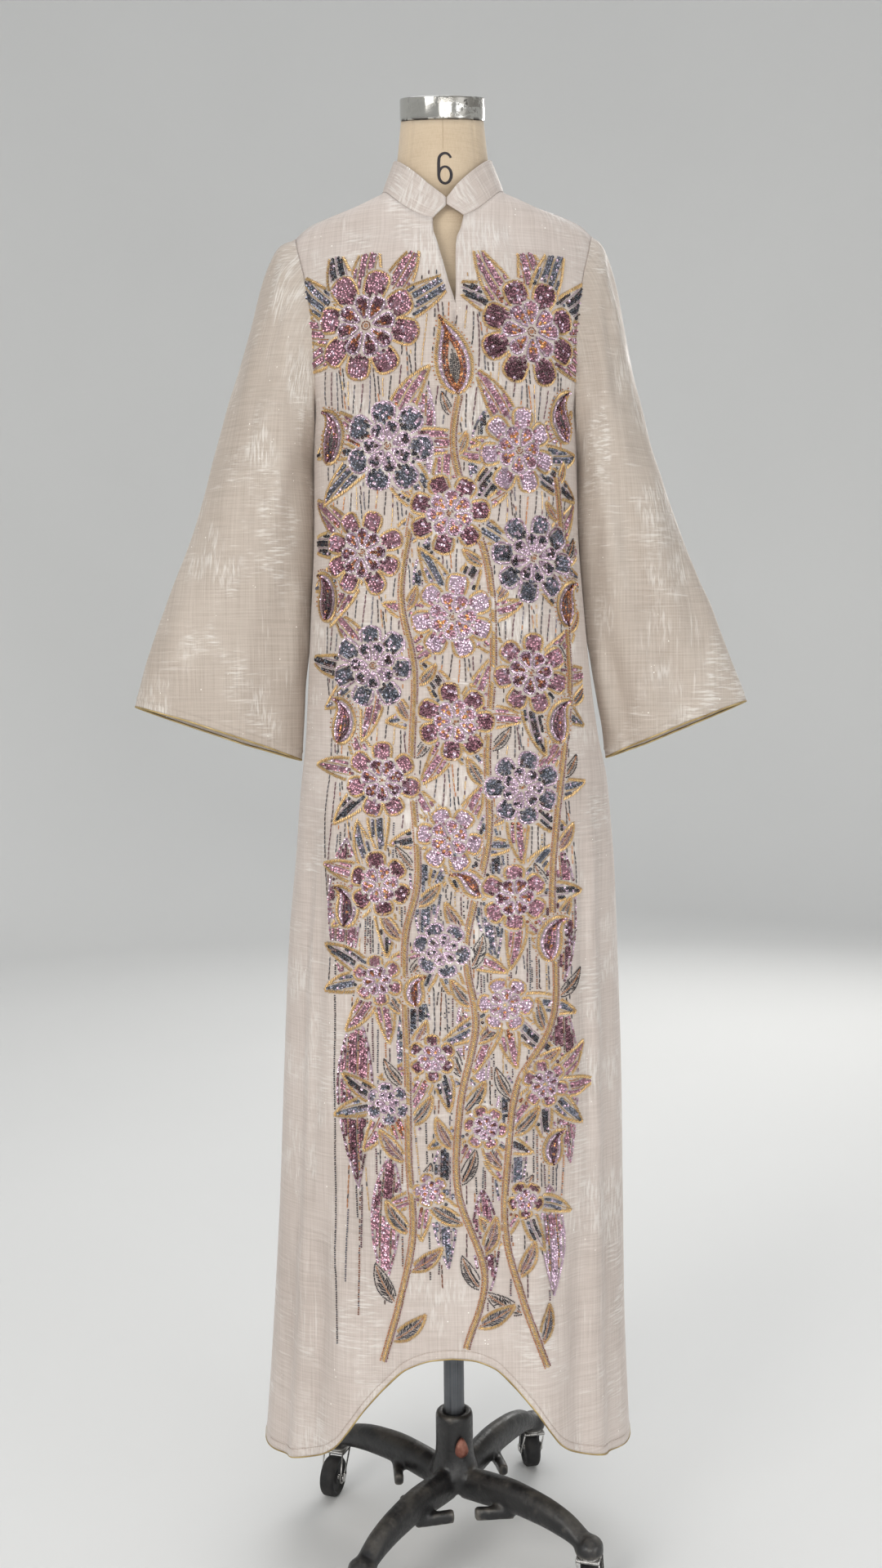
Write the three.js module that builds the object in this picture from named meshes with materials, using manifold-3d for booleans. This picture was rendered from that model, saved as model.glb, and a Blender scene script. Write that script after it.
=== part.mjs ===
// Abaya on a limbless dress form with a wheeled, height-adjustable stand.
// Millimetres, +Z up, floor at Z = 0, the form's axis on X = Y = 0, the garment's front towards -Y.
// "Right" and "left" are the wearer's: the right sleeve lies towards -X.
import * as THREE from 'three';
import { mergeVertices } from 'three/addons/utils/BufferGeometryUtils.js';
import Module from 'manifold-3d';

const wasm = await Module();
wasm.setup();

// ---------------------------------------------------------------- driving dimensions
const CLOTH = 1.6; // wall of every cloth piece
const SEAM_GAP = 0.3; // clearance between pieces that meet
const SIDE_HEM_Z = 153; // hem at the side seams
const ARMPIT_Z = 1383;
const SHOULDER_TIP = { x: 175, z: 1598 };
const NECK_POINT = { x: 72, z: 1647 }; // where the shoulder seam meets the collar
const NECK_FRONT_Z = 1600; // neckline at the centre front
const NECK_BACK_Z = 1654; // neckline at the centre back
const COLLAR_MEET_X = 3.5; // the two collar ends meet a little to the wearer's left
const PIPING_RADIUS = 1.3;

const BODY_ROWS = 15; // rows of a body panel from hem to armpit
const ARMHOLE_ROWS = 11; // rows from armpit to shoulder
const HALF_COLUMNS = 12; // columns of a body panel on each side of its centre
const NECK_COLUMNS = 4; // of which these lie under the collar
const SLEEVE_ROWS = 15;
const COLLAR_ROWS = 4;

// Body sections: half width, centre line's offset in X, depth of the front and back panels, and how square
// their curves are (2 is an ellipse).
const BODY = [
  { z: 100, half: 229, mid: -9, front: 152, back: 152, squareFront: 2.3, squareBack: 2.3 },
  { z: 150, half: 226, mid: -8, front: 150, back: 150, squareFront: 2.3, squareBack: 2.3 },
  { z: 300, half: 217, mid: -5, front: 146, back: 146, squareFront: 2.3, squareBack: 2.3 },
  { z: 450, half: 211, mid: -1, front: 141, back: 142, squareFront: 2.3, squareBack: 2.3 },
  { z: 612, half: 206, mid: 2, front: 136, back: 138, squareFront: 2.3, squareBack: 2.3 },
  { z: 774, half: 199, mid: 4, front: 130, back: 132, squareFront: 2.3, squareBack: 2.3 },
  { z: 883, half: 191, mid: 7, front: 124, back: 127, squareFront: 2.3, squareBack: 2.3 },
  { z: 960, half: 184, mid: 7, front: 119, back: 123, squareFront: 2.3, squareBack: 2.3 },
  { z: 1010, half: 176, mid: 5, front: 116, back: 120, squareFront: 2.3, squareBack: 2.3 },
  { z: 1060, half: 171, mid: 3, front: 113, back: 117, squareFront: 2.3, squareBack: 2.3 },
  { z: 1150, half: 164, mid: 1, front: 108, back: 110, squareFront: 2.3, squareBack: 2.3 },
  { z: 1267, half: 157, mid: 0, front: 107, back: 101, squareFront: 2.3, squareBack: 2.3 },
  { z: 1383, half: 156, mid: 0, front: 111, back: 98, squareFront: 2.2, squareBack: 2.2 },
  { z: 1430, half: 168, mid: 0, front: 112, back: 99, squareFront: 2.1, squareBack: 2.1 },
  { z: 1500, half: 178, mid: 0, front: 107, back: 98, squareFront: 2.0, squareBack: 2.0 },
  { z: 1560, half: 183, mid: 0, front: 93, back: 88, squareFront: 1.8, squareBack: 1.9 },
  { z: 1598, half: 175, mid: 0, front: 77, back: 79, squareFront: 1.5, squareBack: 1.7 },
  { z: 1612, half: 158, mid: 0, front: 72, back: 75, squareFront: 1.55, squareBack: 1.6 },
  { z: 1633, half: 107, mid: 0, front: 66, back: 69, squareFront: 1.7, squareBack: 1.7 },
  { z: 1647, half: 72, mid: 0, front: 60, back: 64, squareFront: 2.0, squareBack: 2.0 },
  { z: 1656, half: 70, mid: 0, front: 58, back: 61, squareFront: 2.0, squareBack: 2.0 },
];

// Shoulder seam: its height over X.
const SHOULDER = [
  { x: 72, z: 1647 },
  { x: 107, z: 1633 },
  { x: 158, z: 1612 },
  { x: 175, z: 1598 },
];

// Armhole edge of the panels.
const ARMHOLE = [
  { z: 1383, x: 156 },
  { z: 1420, x: 151 },
  { z: 1480, x: 152 },
  { z: 1540, x: 161 },
  { z: 1580, x: 171 },
  { z: 1598, x: 175 },
];

// Hem height over the share of the half width: an arch at the centre, lobes at the sides.
const HEM = [
  { share: 0, z: 305 },
  { share: 0.1, z: 303 },
  { share: 0.22, z: 293 },
  { share: 0.32, z: 272 },
  { share: 0.42, z: 243 },
  { share: 0.5, z: 214 },
  { share: 0.57, z: 194 },
  { share: 0.68, z: 177 },
  { share: 0.8, z: 165 },
  { share: 0.9, z: 157 },
  { share: 1, z: SIDE_HEM_Z },
];

// Edges of the neck slit; below its end both run on as the front's middle column.
const SLIT = [
  { z: 305, left: -2, right: -2 },
  { z: 1100, left: 1, right: 1 },
  { z: 1400, left: 9, right: 9 },
  { z: 1498, left: 12, right: 12 },
  { z: 1520, left: 6, right: 13 },
  { z: 1551, left: -2, right: 13 },
  { z: 1574, left: -8, right: 14 },
  { z: 1588, left: -12, right: 19 },
  { z: 1604, left: -12, right: 23 },
];

const SLIT_SHARE = 0.92; // how far up the front the slit starts

// Long folds of the body: side of the body, share of the half width, the heights between which they grow
// from nothing to their depth, and their width as a share. A negative depth is a ridge.
const BODY_FOLDS = [
  { panel: -1, share: -0.9, from: 1010, to: 760, depth: 9, width: 0.05 },
  { panel: -1, share: 0.9, from: 1010, to: 760, depth: 9, width: 0.05 },
  { panel: -1, share: -0.73, from: 760, to: 420, depth: 7, width: 0.07 },
  { panel: -1, share: 0.71, from: 700, to: 380, depth: 8, width: 0.07 },
  { panel: -1, share: -0.5, from: 620, to: 250, depth: -8, width: 0.12 },
  { panel: -1, share: 0.48, from: 560, to: 230, depth: -9, width: 0.11 },
  { panel: 1, share: -0.88, from: 1020, to: 740, depth: 9, width: 0.05 },
  { panel: 1, share: 0.9, from: 990, to: 700, depth: 8, width: 0.05 },
  { panel: 1, share: -0.55, from: 900, to: 420, depth: 9, width: 0.09 },
  { panel: 1, share: 0.57, from: 860, to: 400, depth: 8, width: 0.09 },
  { panel: 1, share: 0.05, from: 780, to: 330, depth: 7, width: 0.1 },
  { panel: 1, share: -0.28, from: 820, to: 330, depth: -8, width: 0.12 },
  { panel: 1, share: 0.3, from: 760, to: 300, depth: -7, width: 0.12 },
];

// Sleeves, from the armhole to the cuff: heights of the inner and outer edge, their distance from the middle
// on the right and left sleeve, and half the depth between the two layers.
const SLEEVE = [
  { along: 0, inZ: 1383, outZ: 1598, inRight: 156, inLeft: 156, outRight: 175, outLeft: 175, depth: 56 },
  { along: 0.04, inZ: 1376, outZ: 1590, inRight: 159, inLeft: 159, outRight: 192, outLeft: 186, depth: 59 },
  { along: 0.1, inZ: 1366, outZ: 1571, inRight: 160, inLeft: 160, outRight: 204, outLeft: 195, depth: 62 },
  { along: 0.2, inZ: 1345, outZ: 1526, inRight: 161, inLeft: 161, outRight: 219, outLeft: 206, depth: 62 },
  { along: 0.32, inZ: 1315, outZ: 1462, inRight: 161, inLeft: 161, outRight: 238, outLeft: 217, depth: 58 },
  { along: 0.45, inZ: 1270, outZ: 1377, inRight: 161, inLeft: 161, outRight: 265, outLeft: 238, depth: 52 },
  { along: 0.6, inZ: 1205, outZ: 1269, inRight: 164, inLeft: 165, outRight: 296, outLeft: 273, depth: 46 },
  { along: 0.75, inZ: 1125, outZ: 1175, inRight: 168, inLeft: 171, outRight: 334, outLeft: 310, depth: 41 },
  { along: 0.87, inZ: 1060, outZ: 1112, inRight: 172, inLeft: 181, outRight: 358, outLeft: 336, depth: 38 },
  { along: 1, inZ: 986, outZ: 1052, inRight: 177, inLeft: 191, outRight: 376, outLeft: 359, depth: 36 },
];

// Sleeve folds: across runs from -1 at the inner edge to 1 at the outer edge, layer is -1 in front.
const SLEEVE_FOLDS = [
  { side: 1, layer: -1, across: -0.72, lean: 0, from: 0.35, to: 0.8, depth: 9, width: 0.16 },
  { side: 1, layer: -1, across: 0.1, lean: -0.5, from: 0.1, to: 0.4, depth: 5, width: 0.2 },
  { side: 1, layer: 1, across: -0.4, lean: 0.2, from: 0.3, to: 0.8, depth: 7, width: 0.22 },
  { side: -1, layer: -1, across: 0.3, lean: -0.7, from: 0.15, to: 0.5, depth: 6, width: 0.2 },
  { side: -1, layer: -1, across: -0.6, lean: 0.1, from: 0.4, to: 0.9, depth: 5, width: 0.2 },
  { side: -1, layer: 1, across: -0.3, lean: 0.3, from: 0.3, to: 0.8, depth: 7, width: 0.22 },
];
const CUFF_BOW = 6; // the front of the cuff arches up by this, the back dips by it

// Collar: top edge.
const COLLAR = { topX: 58, topFront: 64, topBack: 55, sideZ: 1683, backZ: 1688, frontZ: 1626 };
const COLLAR_JOIN = 0.62; // share of the collar's height where its two ends have met

// Dress form sections.
const FORM = [
  { z: 826, half: 126, front: 88, back: 86, square: 2.2 },
  { z: 842, half: 141, front: 99, back: 98, square: 2.2 },
  { z: 900, half: 151, front: 104, back: 106, square: 2.2 },
  { z: 990, half: 155, front: 103, back: 108, square: 2.2 },
  { z: 1080, half: 150, front: 97, back: 104, square: 2.2 },
  { z: 1170, half: 134, front: 86, back: 90, square: 2.2 },
  { z: 1240, half: 122, front: 81, back: 78, square: 2.2 },
  { z: 1310, half: 127, front: 91, back: 80, square: 2.2 },
  { z: 1380, half: 139, front: 101, back: 86, square: 2.2 },
  { z: 1430, half: 145, front: 102, back: 88, square: 2.1 },
  { z: 1500, half: 149, front: 96, back: 86, square: 2.1 },
  { z: 1550, half: 153, front: 83, back: 77, square: 1.9 },
  { z: 1583, half: 159, front: 70, back: 68, square: 1.7 },
  { z: 1600, half: 156, front: 66, back: 65, square: 1.6 },
  { z: 1612, half: 143, front: 63, back: 62, square: 1.5 },
  { z: 1631, half: 105, front: 42, back: 42, square: 1.35 },
  { z: 1643, half: 65, front: 51, back: 50, square: 1.7 },
  { z: 1656, half: 58, front: 53, back: 52, square: 2 },
  { z: 1684, half: 53.5, front: 51, back: 50, square: 2 },
  { z: 1731, half: 48.5, front: 46.5, back: 46.5, square: 2 },
];
const FORM_SIDES = 24;
const CAP = { radius: 49.5, at: 1731.3, height: 25, edge: 2.5 };
// The neck leans forward: its level sections tip by this many degrees between the two heights.
const NECK_LEAN = { from: 1656, to: 1731, degrees: 15.6 };
const POLE = { radius: 12.7, bottom: 70, top: 825.7 };

// Cast base: a hub on four arched legs that end in caster sockets.
const HUB = { radius: 23.3, foot: 27, top: 172, bottom: 76, bore: 13.2 };
const LEG_ANGLES = [-40, 58, 140, -122]; // degrees from +X
const LEG = [
  { reach: 14, z: 84, width: 30, height: 38 },
  { reach: 50, z: 88, width: 30, height: 40 },
  { reach: 95, z: 92, width: 29, height: 38 },
  { reach: 135, z: 90, width: 28, height: 35 },
  { reach: 170, z: 84, width: 27, height: 30 },
  { reach: 203, z: 70, width: 26, height: 18 },
];
const LEG_SIDES = 8;
const SOCKET = { reach: 203, radius: 17, bottom: 60, shoulder: 70, top: 82, bore: 4.9, boreTop: 75 };
const BRACE = { reach: 78, z: 74, width: 12, height: 15, length: 48 };
const SCREW = { angle: -72, z: 132, radius: 4, bore: 4.3, headGap: 1.2, head: 8.5, point: 17, thick: 7 };

// Casters: the way each wheel trails its stem, in degrees from +X.
const CASTER = { trail: 16, radius: 25, width: 20, bore: 3.4, axle: 3, cheekGap: 2, cheek: 2.2 };
const CROWN = { bottom: 54, top: 57, length: 26 };
const CASTER_TRAILS = [75, 100, -110, -105];
const STEM_RADIUS = 4.6;
const STEM_TOP = 74;

// ---------------------------------------------------------------- materials
const finish = (color, roughness, metalness) =>
  new THREE.MeshStandardMaterial({ color, roughness, metalness, side: THREE.DoubleSide });
const LINEN = finish(0xd2bfb2, 0.62, 0.08);
const GOLD = finish(0xb59a5a, 0.4, 0.6);
const FORM_CLOTH = finish(0xd8bd98, 0.85, 0);
const CHROME = finish(0xc8c8c6, 0.2, 1);
const STEEL = finish(0x8b9196, 0.4, 0.9);
const CAST_IRON = finish(0x17171a, 0.55, 0.4);
const BRONZE = finish(0x7d4a3c, 0.5, 0.6);
const RUBBER = finish(0x111112, 0.75, 0);

const group = new THREE.Group();

function addPiece(name, geometry, material) {
  const mesh = new THREE.Mesh(geometry, material);
  mesh.name = name;
  group.add(mesh);
  return mesh;
}

// ---------------------------------------------------------------- tables and small helpers
const lerp = (a, b, t) => a + (b - a) * t;
const clamp01 = (t) => Math.min(1, Math.max(0, t));
const smooth = (t) => clamp01(t) ** 2 * (3 - 2 * clamp01(t));
const bell = (t) => Math.exp(-t * t);
const radians = (degrees) => (degrees * Math.PI) / 180;

// A table's column at a place along its key, on a smooth curve that never overshoots the rows.
function read(table, key, column, at) {
  const last = table.length - 1;
  if (at <= table[0][key]) return table[0][column];
  if (at >= table[last][key]) return table[last][column];
  let i = 0;
  while (table[i + 1][key] < at) i += 1;
  const slope = (k) => (table[k + 1][column] - table[k][column]) / (table[k + 1][key] - table[k][key]);
  const tangent = (k) => {
    if (k === 0) return slope(0);
    if (k === last) return slope(last - 1);
    const before = slope(k - 1);
    const after = slope(k);
    return before * after <= 0 ? 0 : (2 * before * after) / (before + after);
  };
  const step = table[i + 1][key] - table[i][key];
  const t = (at - table[i][key]) / step;
  const a = table[i][column];
  const b = table[i + 1][column];
  return (
    a * (1 + 2 * t) * (1 - t) ** 2 +
    b * t * t * (3 - 2 * t) +
    step * (tangent(i) * t * (1 - t) ** 2 + tangent(i + 1) * t * t * (t - 1))
  );
}

// A closed wall from a sheet of quads of point numbers, thickened inwards against the mean normal at each
// point.
// lean(number, normal) may turn the normal at a seam.
function wallFrom(points, quads, thickness, lean = () => {}) {
  const normals = points.map(() => new THREE.Vector3());
  const faces = [];
  for (const [a, b, c, d] of quads) {
    faces.push([a, b, c], [a, c, d]);
    const across = points[c].clone().sub(points[a]);
    const along = points[d].clone().sub(points[b]);
    const normal = across.cross(along);
    for (const k of [a, b, c, d]) normals[k].add(normal);
  }
  normals.forEach((normal, k) => {
    lean(k, normal);
    normal.normalize();
  });
  const inner = points.map((p, k) => p.clone().addScaledVector(normals[k], -thickness));
  const edges = new Map();
  for (const face of faces) {
    for (let k = 0; k < 3; k += 1) {
      const a = face[k];
      const b = face[(k + 1) % 3];
      if (edges.has(`${b},${a}`)) edges.delete(`${b},${a}`);
      else edges.set(`${a},${b}`, [a, b]);
    }
  }
  const corners = [];
  for (const [a, b, c] of faces) {
    corners.push(points[a], points[b], points[c]);
    corners.push(inner[a], inner[c], inner[b]);
  }
  for (const [a, b] of edges.values()) {
    corners.push(points[b], points[a], inner[a]);
    corners.push(points[b], inner[a], inner[b]);
  }
  return new THREE.BufferGeometry().setFromPoints(corners);
}

// A round tube through points, closed on itself or with flat ends.
function tubeAlong(path, radius, sides, closed) {
  const count = path.length;
  const rings = path.map((p, k) => {
    const before = path[closed ? (k + count - 1) % count : Math.max(0, k - 1)];
    const after = path[closed ? (k + 1) % count : Math.min(count - 1, k + 1)];
    const forward = after.clone().sub(before).normalize();
    const right = new THREE.Vector3(0, 0, 1).cross(forward).normalize();
    const up = forward.clone().cross(right);
    return Array.from({ length: sides }, (_, s) => {
      const angle = (2 * Math.PI * s) / sides;
      const out = right.clone().multiplyScalar(Math.cos(angle) * radius);
      return p.clone().add(out).addScaledVector(up, Math.sin(angle) * radius);
    });
  });
  const corners = [];
  const spans = closed ? count : count - 1;
  for (let k = 0; k < spans; k += 1) {
    const here = rings[k];
    const next = rings[(k + 1) % count];
    for (let s = 0; s < sides; s += 1) {
      const t = (s + 1) % sides;
      corners.push(here[s], here[t], next[t], here[s], next[t], next[s]);
    }
  }
  if (!closed) {
    for (let s = 0; s < sides; s += 1) {
      const t = (s + 1) % sides;
      corners.push(path[0], rings[0][t], rings[0][s]);
      corners.push(path[count - 1], rings[count - 1][s], rings[count - 1][t]);
    }
  }
  return new THREE.BufferGeometry().setFromPoints(corners);
}

// A solid through closed rings of equal length, with flat ends.
function loft(rings) {
  const corners = [];
  const sides = rings[0].length;
  for (let k = 0; k + 1 < rings.length; k += 1) {
    for (let s = 0; s < sides; s += 1) {
      const t = (s + 1) % sides;
      corners.push(rings[k][s], rings[k][t], rings[k + 1][t]);
      corners.push(rings[k][s], rings[k + 1][t], rings[k + 1][s]);
    }
  }
  for (let s = 1; s + 1 < sides; s += 1) {
    corners.push(rings[0][0], rings[0][s + 1], rings[0][s]);
    const top = rings[rings.length - 1];
    corners.push(top[0], top[s], top[s + 1]);
  }
  return new THREE.BufferGeometry().setFromPoints(corners);
}

function toSolid(geometry) {
  const bare = new THREE.BufferGeometry();
  const plain = geometry.index ? geometry.toNonIndexed() : geometry;
  bare.setAttribute('position', plain.getAttribute('position'));
  const merged = mergeVertices(bare, 1e-3);
  return new wasm.Manifold(
    new wasm.Mesh({
      numProp: 3,
      vertProperties: merged.attributes.position.array,
      triVerts: new Uint32Array(merged.index.array),
    }),
  );
}

function toGeometry(solid) {
  const mesh = solid.getMesh();
  const geometry = new THREE.BufferGeometry();
  geometry.setAttribute('position', new THREE.BufferAttribute(new Float32Array(mesh.vertProperties), 3));
  geometry.setIndex(new THREE.BufferAttribute(new Uint32Array(mesh.triVerts), 1));
  return geometry;
}

// An upright cylinder between two heights.
function upright(radius, bottom, top, sides, x = 0, y = 0) {
  const geometry = new THREE.CylinderGeometry(radius, radius, top - bottom, sides);
  return geometry.rotateX(Math.PI / 2).translate(x, y, (top + bottom) / 2);
}

// A solid of revolution about Z from [radius, z] pairs.
function turned(profile, sides) {
  const outline = profile.map(([radius, z]) => new THREE.Vector2(radius, z));
  return new THREE.LatheGeometry(outline, sides).rotateX(Math.PI / 2);
}

// ---------------------------------------------------------------- body panels
const ARMPIT_SHARE = (ARMPIT_Z - SIDE_HEM_Z) / (SHOULDER_TIP.z - SIDE_HEM_Z);
const PANEL_ROWS = BODY_ROWS + ARMHOLE_ROWS;

// How far up the panel a row lies, 0 at the hem and 1 at the shoulder.
function rowShare(row) {
  if (row <= BODY_ROWS) return (ARMPIT_SHARE * row) / BODY_ROWS;
  return lerp(ARMPIT_SHARE, 1, (row - BODY_ROWS) / ARMHOLE_ROWS);
}

// How far across the half panel a column lies: closer together at the side seam, and under the collar spaced
// so that one column ends on the neck point.
function columnShare(column, up) {
  const even = column / HALF_COLUMNS;
  const low = Math.sin((even * Math.PI) / 2);
  const neck = NECK_COLUMNS / HALF_COLUMNS;
  const x =
    even <= neck
      ? NECK_POINT.x * Math.sin(((even / neck) * Math.PI) / 2)
      : lerp(NECK_POINT.x, SHOULDER_TIP.x, (even - neck) / (1 - neck));
  return lerp(low, x / SHOULDER_TIP.x, smooth((up - 0.8) / 0.2));
}

// The panel's top edge over X: neckline inside the neck points, shoulder seam outside them.
function topZ(x, panel) {
  const reach = Math.abs(x);
  if (reach >= NECK_POINT.x) return read(SHOULDER, 'x', 'z', reach);
  const round = Math.sqrt(1 - (reach / NECK_POINT.x) ** 2);
  if (panel < 0) return lerp(NECK_POINT.z, NECK_FRONT_Z, round ** 2);
  return lerp(NECK_POINT.z, NECK_BACK_Z, round);
}

function foldDepth(panel, share, z) {
  let depth = 0;
  for (const fold of BODY_FOLDS) {
    if (fold.panel !== panel) continue;
    const grown = smooth((fold.from - z) / (fold.from - fold.to));
    depth += fold.depth * grown * bell((share - fold.share) / fold.width);
  }
  return depth;
}

// A point of the front (panel -1) or back (panel 1). side is -1 towards -X, and share runs out to the edge.
function panelPoint(panel, side, share, up) {
  const edgeZ = lerp(SIDE_HEM_Z, SHOULDER_TIP.z, up);
  const edge = edgeZ > ARMPIT_Z ? read(ARMHOLE, 'z', 'x', edgeZ) : read(BODY, 'z', 'half', edgeZ);
  const hemZ = read(HEM, 'share', 'z', share);
  const slitEdge = side < 0 ? 'left' : 'right';
  const nearSlit = panel < 0 ? Math.max(0, 1 - (share * SHOULDER_TIP.x) / NECK_POINT.x) : 0;
  const open = nearSlit * smooth((up - SLIT_SHARE) / (1 - SLIT_SHARE));
  const topX = side * share * SHOULDER_TIP.x + open * read(SLIT, 'z', slitEdge, NECK_POINT.z);
  const z = lerp(hemZ, topZ(topX, panel), up);
  const middle = read(BODY, 'z', 'mid', z);
  const spread = nearSlit * (read(SLIT, 'z', slitEdge, z) - middle);
  const x = lerp(middle, read(BODY, 'z', 'mid', edgeZ) + side * edge, share) + spread;
  const half = read(BODY, 'z', 'half', z);
  const square = read(BODY, 'z', panel < 0 ? 'squareFront' : 'squareBack', z);
  const depth = read(BODY, 'z', panel < 0 ? 'front' : 'back', z);
  const reach = Math.min(1, Math.abs(x - middle) / half);
  const bulge = Math.pow(1 - Math.pow(reach, square), 1 / square);
  const onSeam = share > 0.9999 && (edgeZ <= ARMPIT_Z + 1e-6 || up > 0.9999);
  const onShoulder = up > 0.9999 && Math.abs(x) > NECK_POINT.x - 1e-3;
  const y = onSeam || onShoulder ? 0 : depth * bulge;
  const inward = foldDepth(panel, side * share, z);
  const around = Math.hypot(x - middle, y) || 1;
  const fade = onSeam || onShoulder ? 0 : 1;
  return new THREE.Vector3(
    x - (inward * fade * (x - middle)) / around,
    panel * (SEAM_GAP / 2 + y - (inward * fade * y) / around),
    z,
  );
}

// Numbered points of a panel. The front's middle column is split in two where the slit is open.
function panelSheet(panel) {
  const points = [];
  const at = new Map();
  for (let row = 0; row <= PANEL_ROWS; row += 1) {
    for (const side of [-1, 1]) {
      for (let column = 0; column <= HALF_COLUMNS; column += 1) {
        const up = rowShare(row);
        const point = panelPoint(panel, side, columnShare(column, up), up);
        const twin = at.get(`${row},${-side},0`);
        if (column === 0 && side > 0 && point.distanceTo(points[twin]) < 1e-6) {
          at.set(`${row},${side},0`, twin);
          continue;
        }
        at.set(`${row},${side},${column}`, points.length);
        points.push(point);
      }
    }
  }
  return { points, number: (row, side, column) => at.get(`${row},${side},${column}`) };
}

function panelGeometry(panel, sheet) {
  const quads = [];
  for (let row = 0; row < PANEL_ROWS; row += 1) {
    for (const side of [-1, 1]) {
      for (let column = 0; column < HALF_COLUMNS; column += 1) {
        const corners = [
          sheet.number(row, side, column),
          sheet.number(row, side, column + 1),
          sheet.number(row + 1, side, column + 1),
          sheet.number(row + 1, side, column),
        ];
        quads.push(side * panel < 0 ? corners : corners.reverse());
      }
    }
  }
  // At the side, shoulder and armhole seams the wall is cut square to the panel across from it.
  const seam = new Set();
  for (const side of [-1, 1]) {
    for (let row = 0; row <= BODY_ROWS; row += 1) seam.add(sheet.number(row, side, HALF_COLUMNS));
    for (let column = NECK_COLUMNS; column <= HALF_COLUMNS; column += 1) {
      seam.add(sheet.number(PANEL_ROWS, side, column));
    }
  }
  return wallFrom(sheet.points, quads, CLOTH, (k, normal) => {
    if (seam.has(k)) normal.y = 0;
  });
}

const frontSheet = panelSheet(-1);
const backSheet = panelSheet(1);
addPiece('front_panel', panelGeometry(-1, frontSheet), LINEN);
addPiece('back_panel', panelGeometry(1, backSheet), LINEN);

// ---------------------------------------------------------------- sleeves
// The armhole loop: up the front edge from the armpit to the shoulder tip, and down the back edge.
function armholeLoop(side) {
  const loop = [];
  for (let k = 0; k < 2 * ARMHOLE_ROWS; k += 1) {
    const rise = k <= ARMHOLE_ROWS ? k : 2 * ARMHOLE_ROWS - k;
    const sheet = k <= ARMHOLE_ROWS ? frontSheet : backSheet;
    const point = sheet.points[sheet.number(BODY_ROWS + rise, side, HALF_COLUMNS)].clone();
    if (rise === 0 || rise === ARMHOLE_ROWS) point.y = 0;
    loop.push(point);
  }
  return loop;
}

function sleevePoint(side, loop, k, along) {
  const rise = k <= ARMHOLE_ROWS ? k : 2 * ARMHOLE_ROWS - k;
  const layer = k <= ARMHOLE_ROWS ? -1 : 1;
  const across = -Math.cos((Math.PI * rise) / ARMHOLE_ROWS);
  const edge = (name, s) => side * read(SLEEVE, 'along', name + (side < 0 ? 'Right' : 'Left'), s);
  const axis = (s) =>
    new THREE.Vector3(
      lerp(edge('in', s), edge('out', s), (1 + across) / 2),
      0,
      lerp(read(SLEEVE, 'along', 'inZ', s), read(SLEEVE, 'along', 'outZ', s), (1 + across) / 2),
    );
  const start = loop[k].clone().sub(axis(0));
  start.x += side * 4 * SEAM_GAP;
  const belly = Math.pow(1 - across * across, 0.7);
  let depth = read(SLEEVE, 'along', 'depth', along) * belly;
  for (const fold of SLEEVE_FOLDS) {
    if (fold.side !== side || fold.layer !== layer) continue;
    const grown = smooth((along - fold.from) / (fold.to - fold.from));
    depth -= fold.depth * grown * bell((across - fold.across - fold.lean * (1 - along)) / fold.width) * belly;
  }
  const hanging = new THREE.Vector3(0, layer * depth, -layer * CUFF_BOW * belly * along ** 4);
  return axis(along).add(start.lerp(hanging, smooth(along / 0.3)));
}

function sleeveSheet(side) {
  const loop = armholeLoop(side);
  const rings = [];
  for (let row = 0; row <= SLEEVE_ROWS; row += 1) {
    const along = (row / SLEEVE_ROWS) ** 1.25;
    rings.push(loop.map((_, k) => sleevePoint(side, loop, k, along)));
  }
  return rings;
}

function sleeveGeometry(side, rings) {
  const around = 2 * ARMHOLE_ROWS;
  const points = rings.flat();
  const quads = [];
  for (let row = 0; row < SLEEVE_ROWS; row += 1) {
    for (let k = 0; k < around; k += 1) {
      const next = (k + 1) % around;
      const here = row * around;
      const below = here + around;
      const corners = [here + k, here + next, below + next, below + k];
      quads.push(side > 0 ? corners : corners.reverse());
    }
  }
  return wallFrom(points, quads, CLOTH, (k, normal) => {
    // The first ring is cut square to the armhole.
    if (k < around) normal.x *= 0.3;
  });
}

// Piping just below the cuff edge.
function cuffPiping(rings) {
  const edge = rings[SLEEVE_ROWS];
  const before = rings[SLEEVE_ROWS - 1];
  const centre = edge.reduce((sum, p) => sum.add(p), new THREE.Vector3()).divideScalar(edge.length);
  const path = edge.map((p, k) => {
    const on = p.clone().sub(before[k]).normalize();
    const inward = centre.clone().sub(p).normalize();
    return p.clone().addScaledVector(on, PIPING_RADIUS + SEAM_GAP).addScaledVector(inward, CLOTH / 2);
  });
  return tubeAlong(path, PIPING_RADIUS, 6, true);
}

for (const side of [-1, 1]) {
  const word = side < 0 ? 'right' : 'left';
  const rings = sleeveSheet(side);
  addPiece(`sleeve_${word}`, sleeveGeometry(side, rings), LINEN);
  addPiece(`cuff_piping_${word}`, cuffPiping(rings), GOLD);
}

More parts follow.
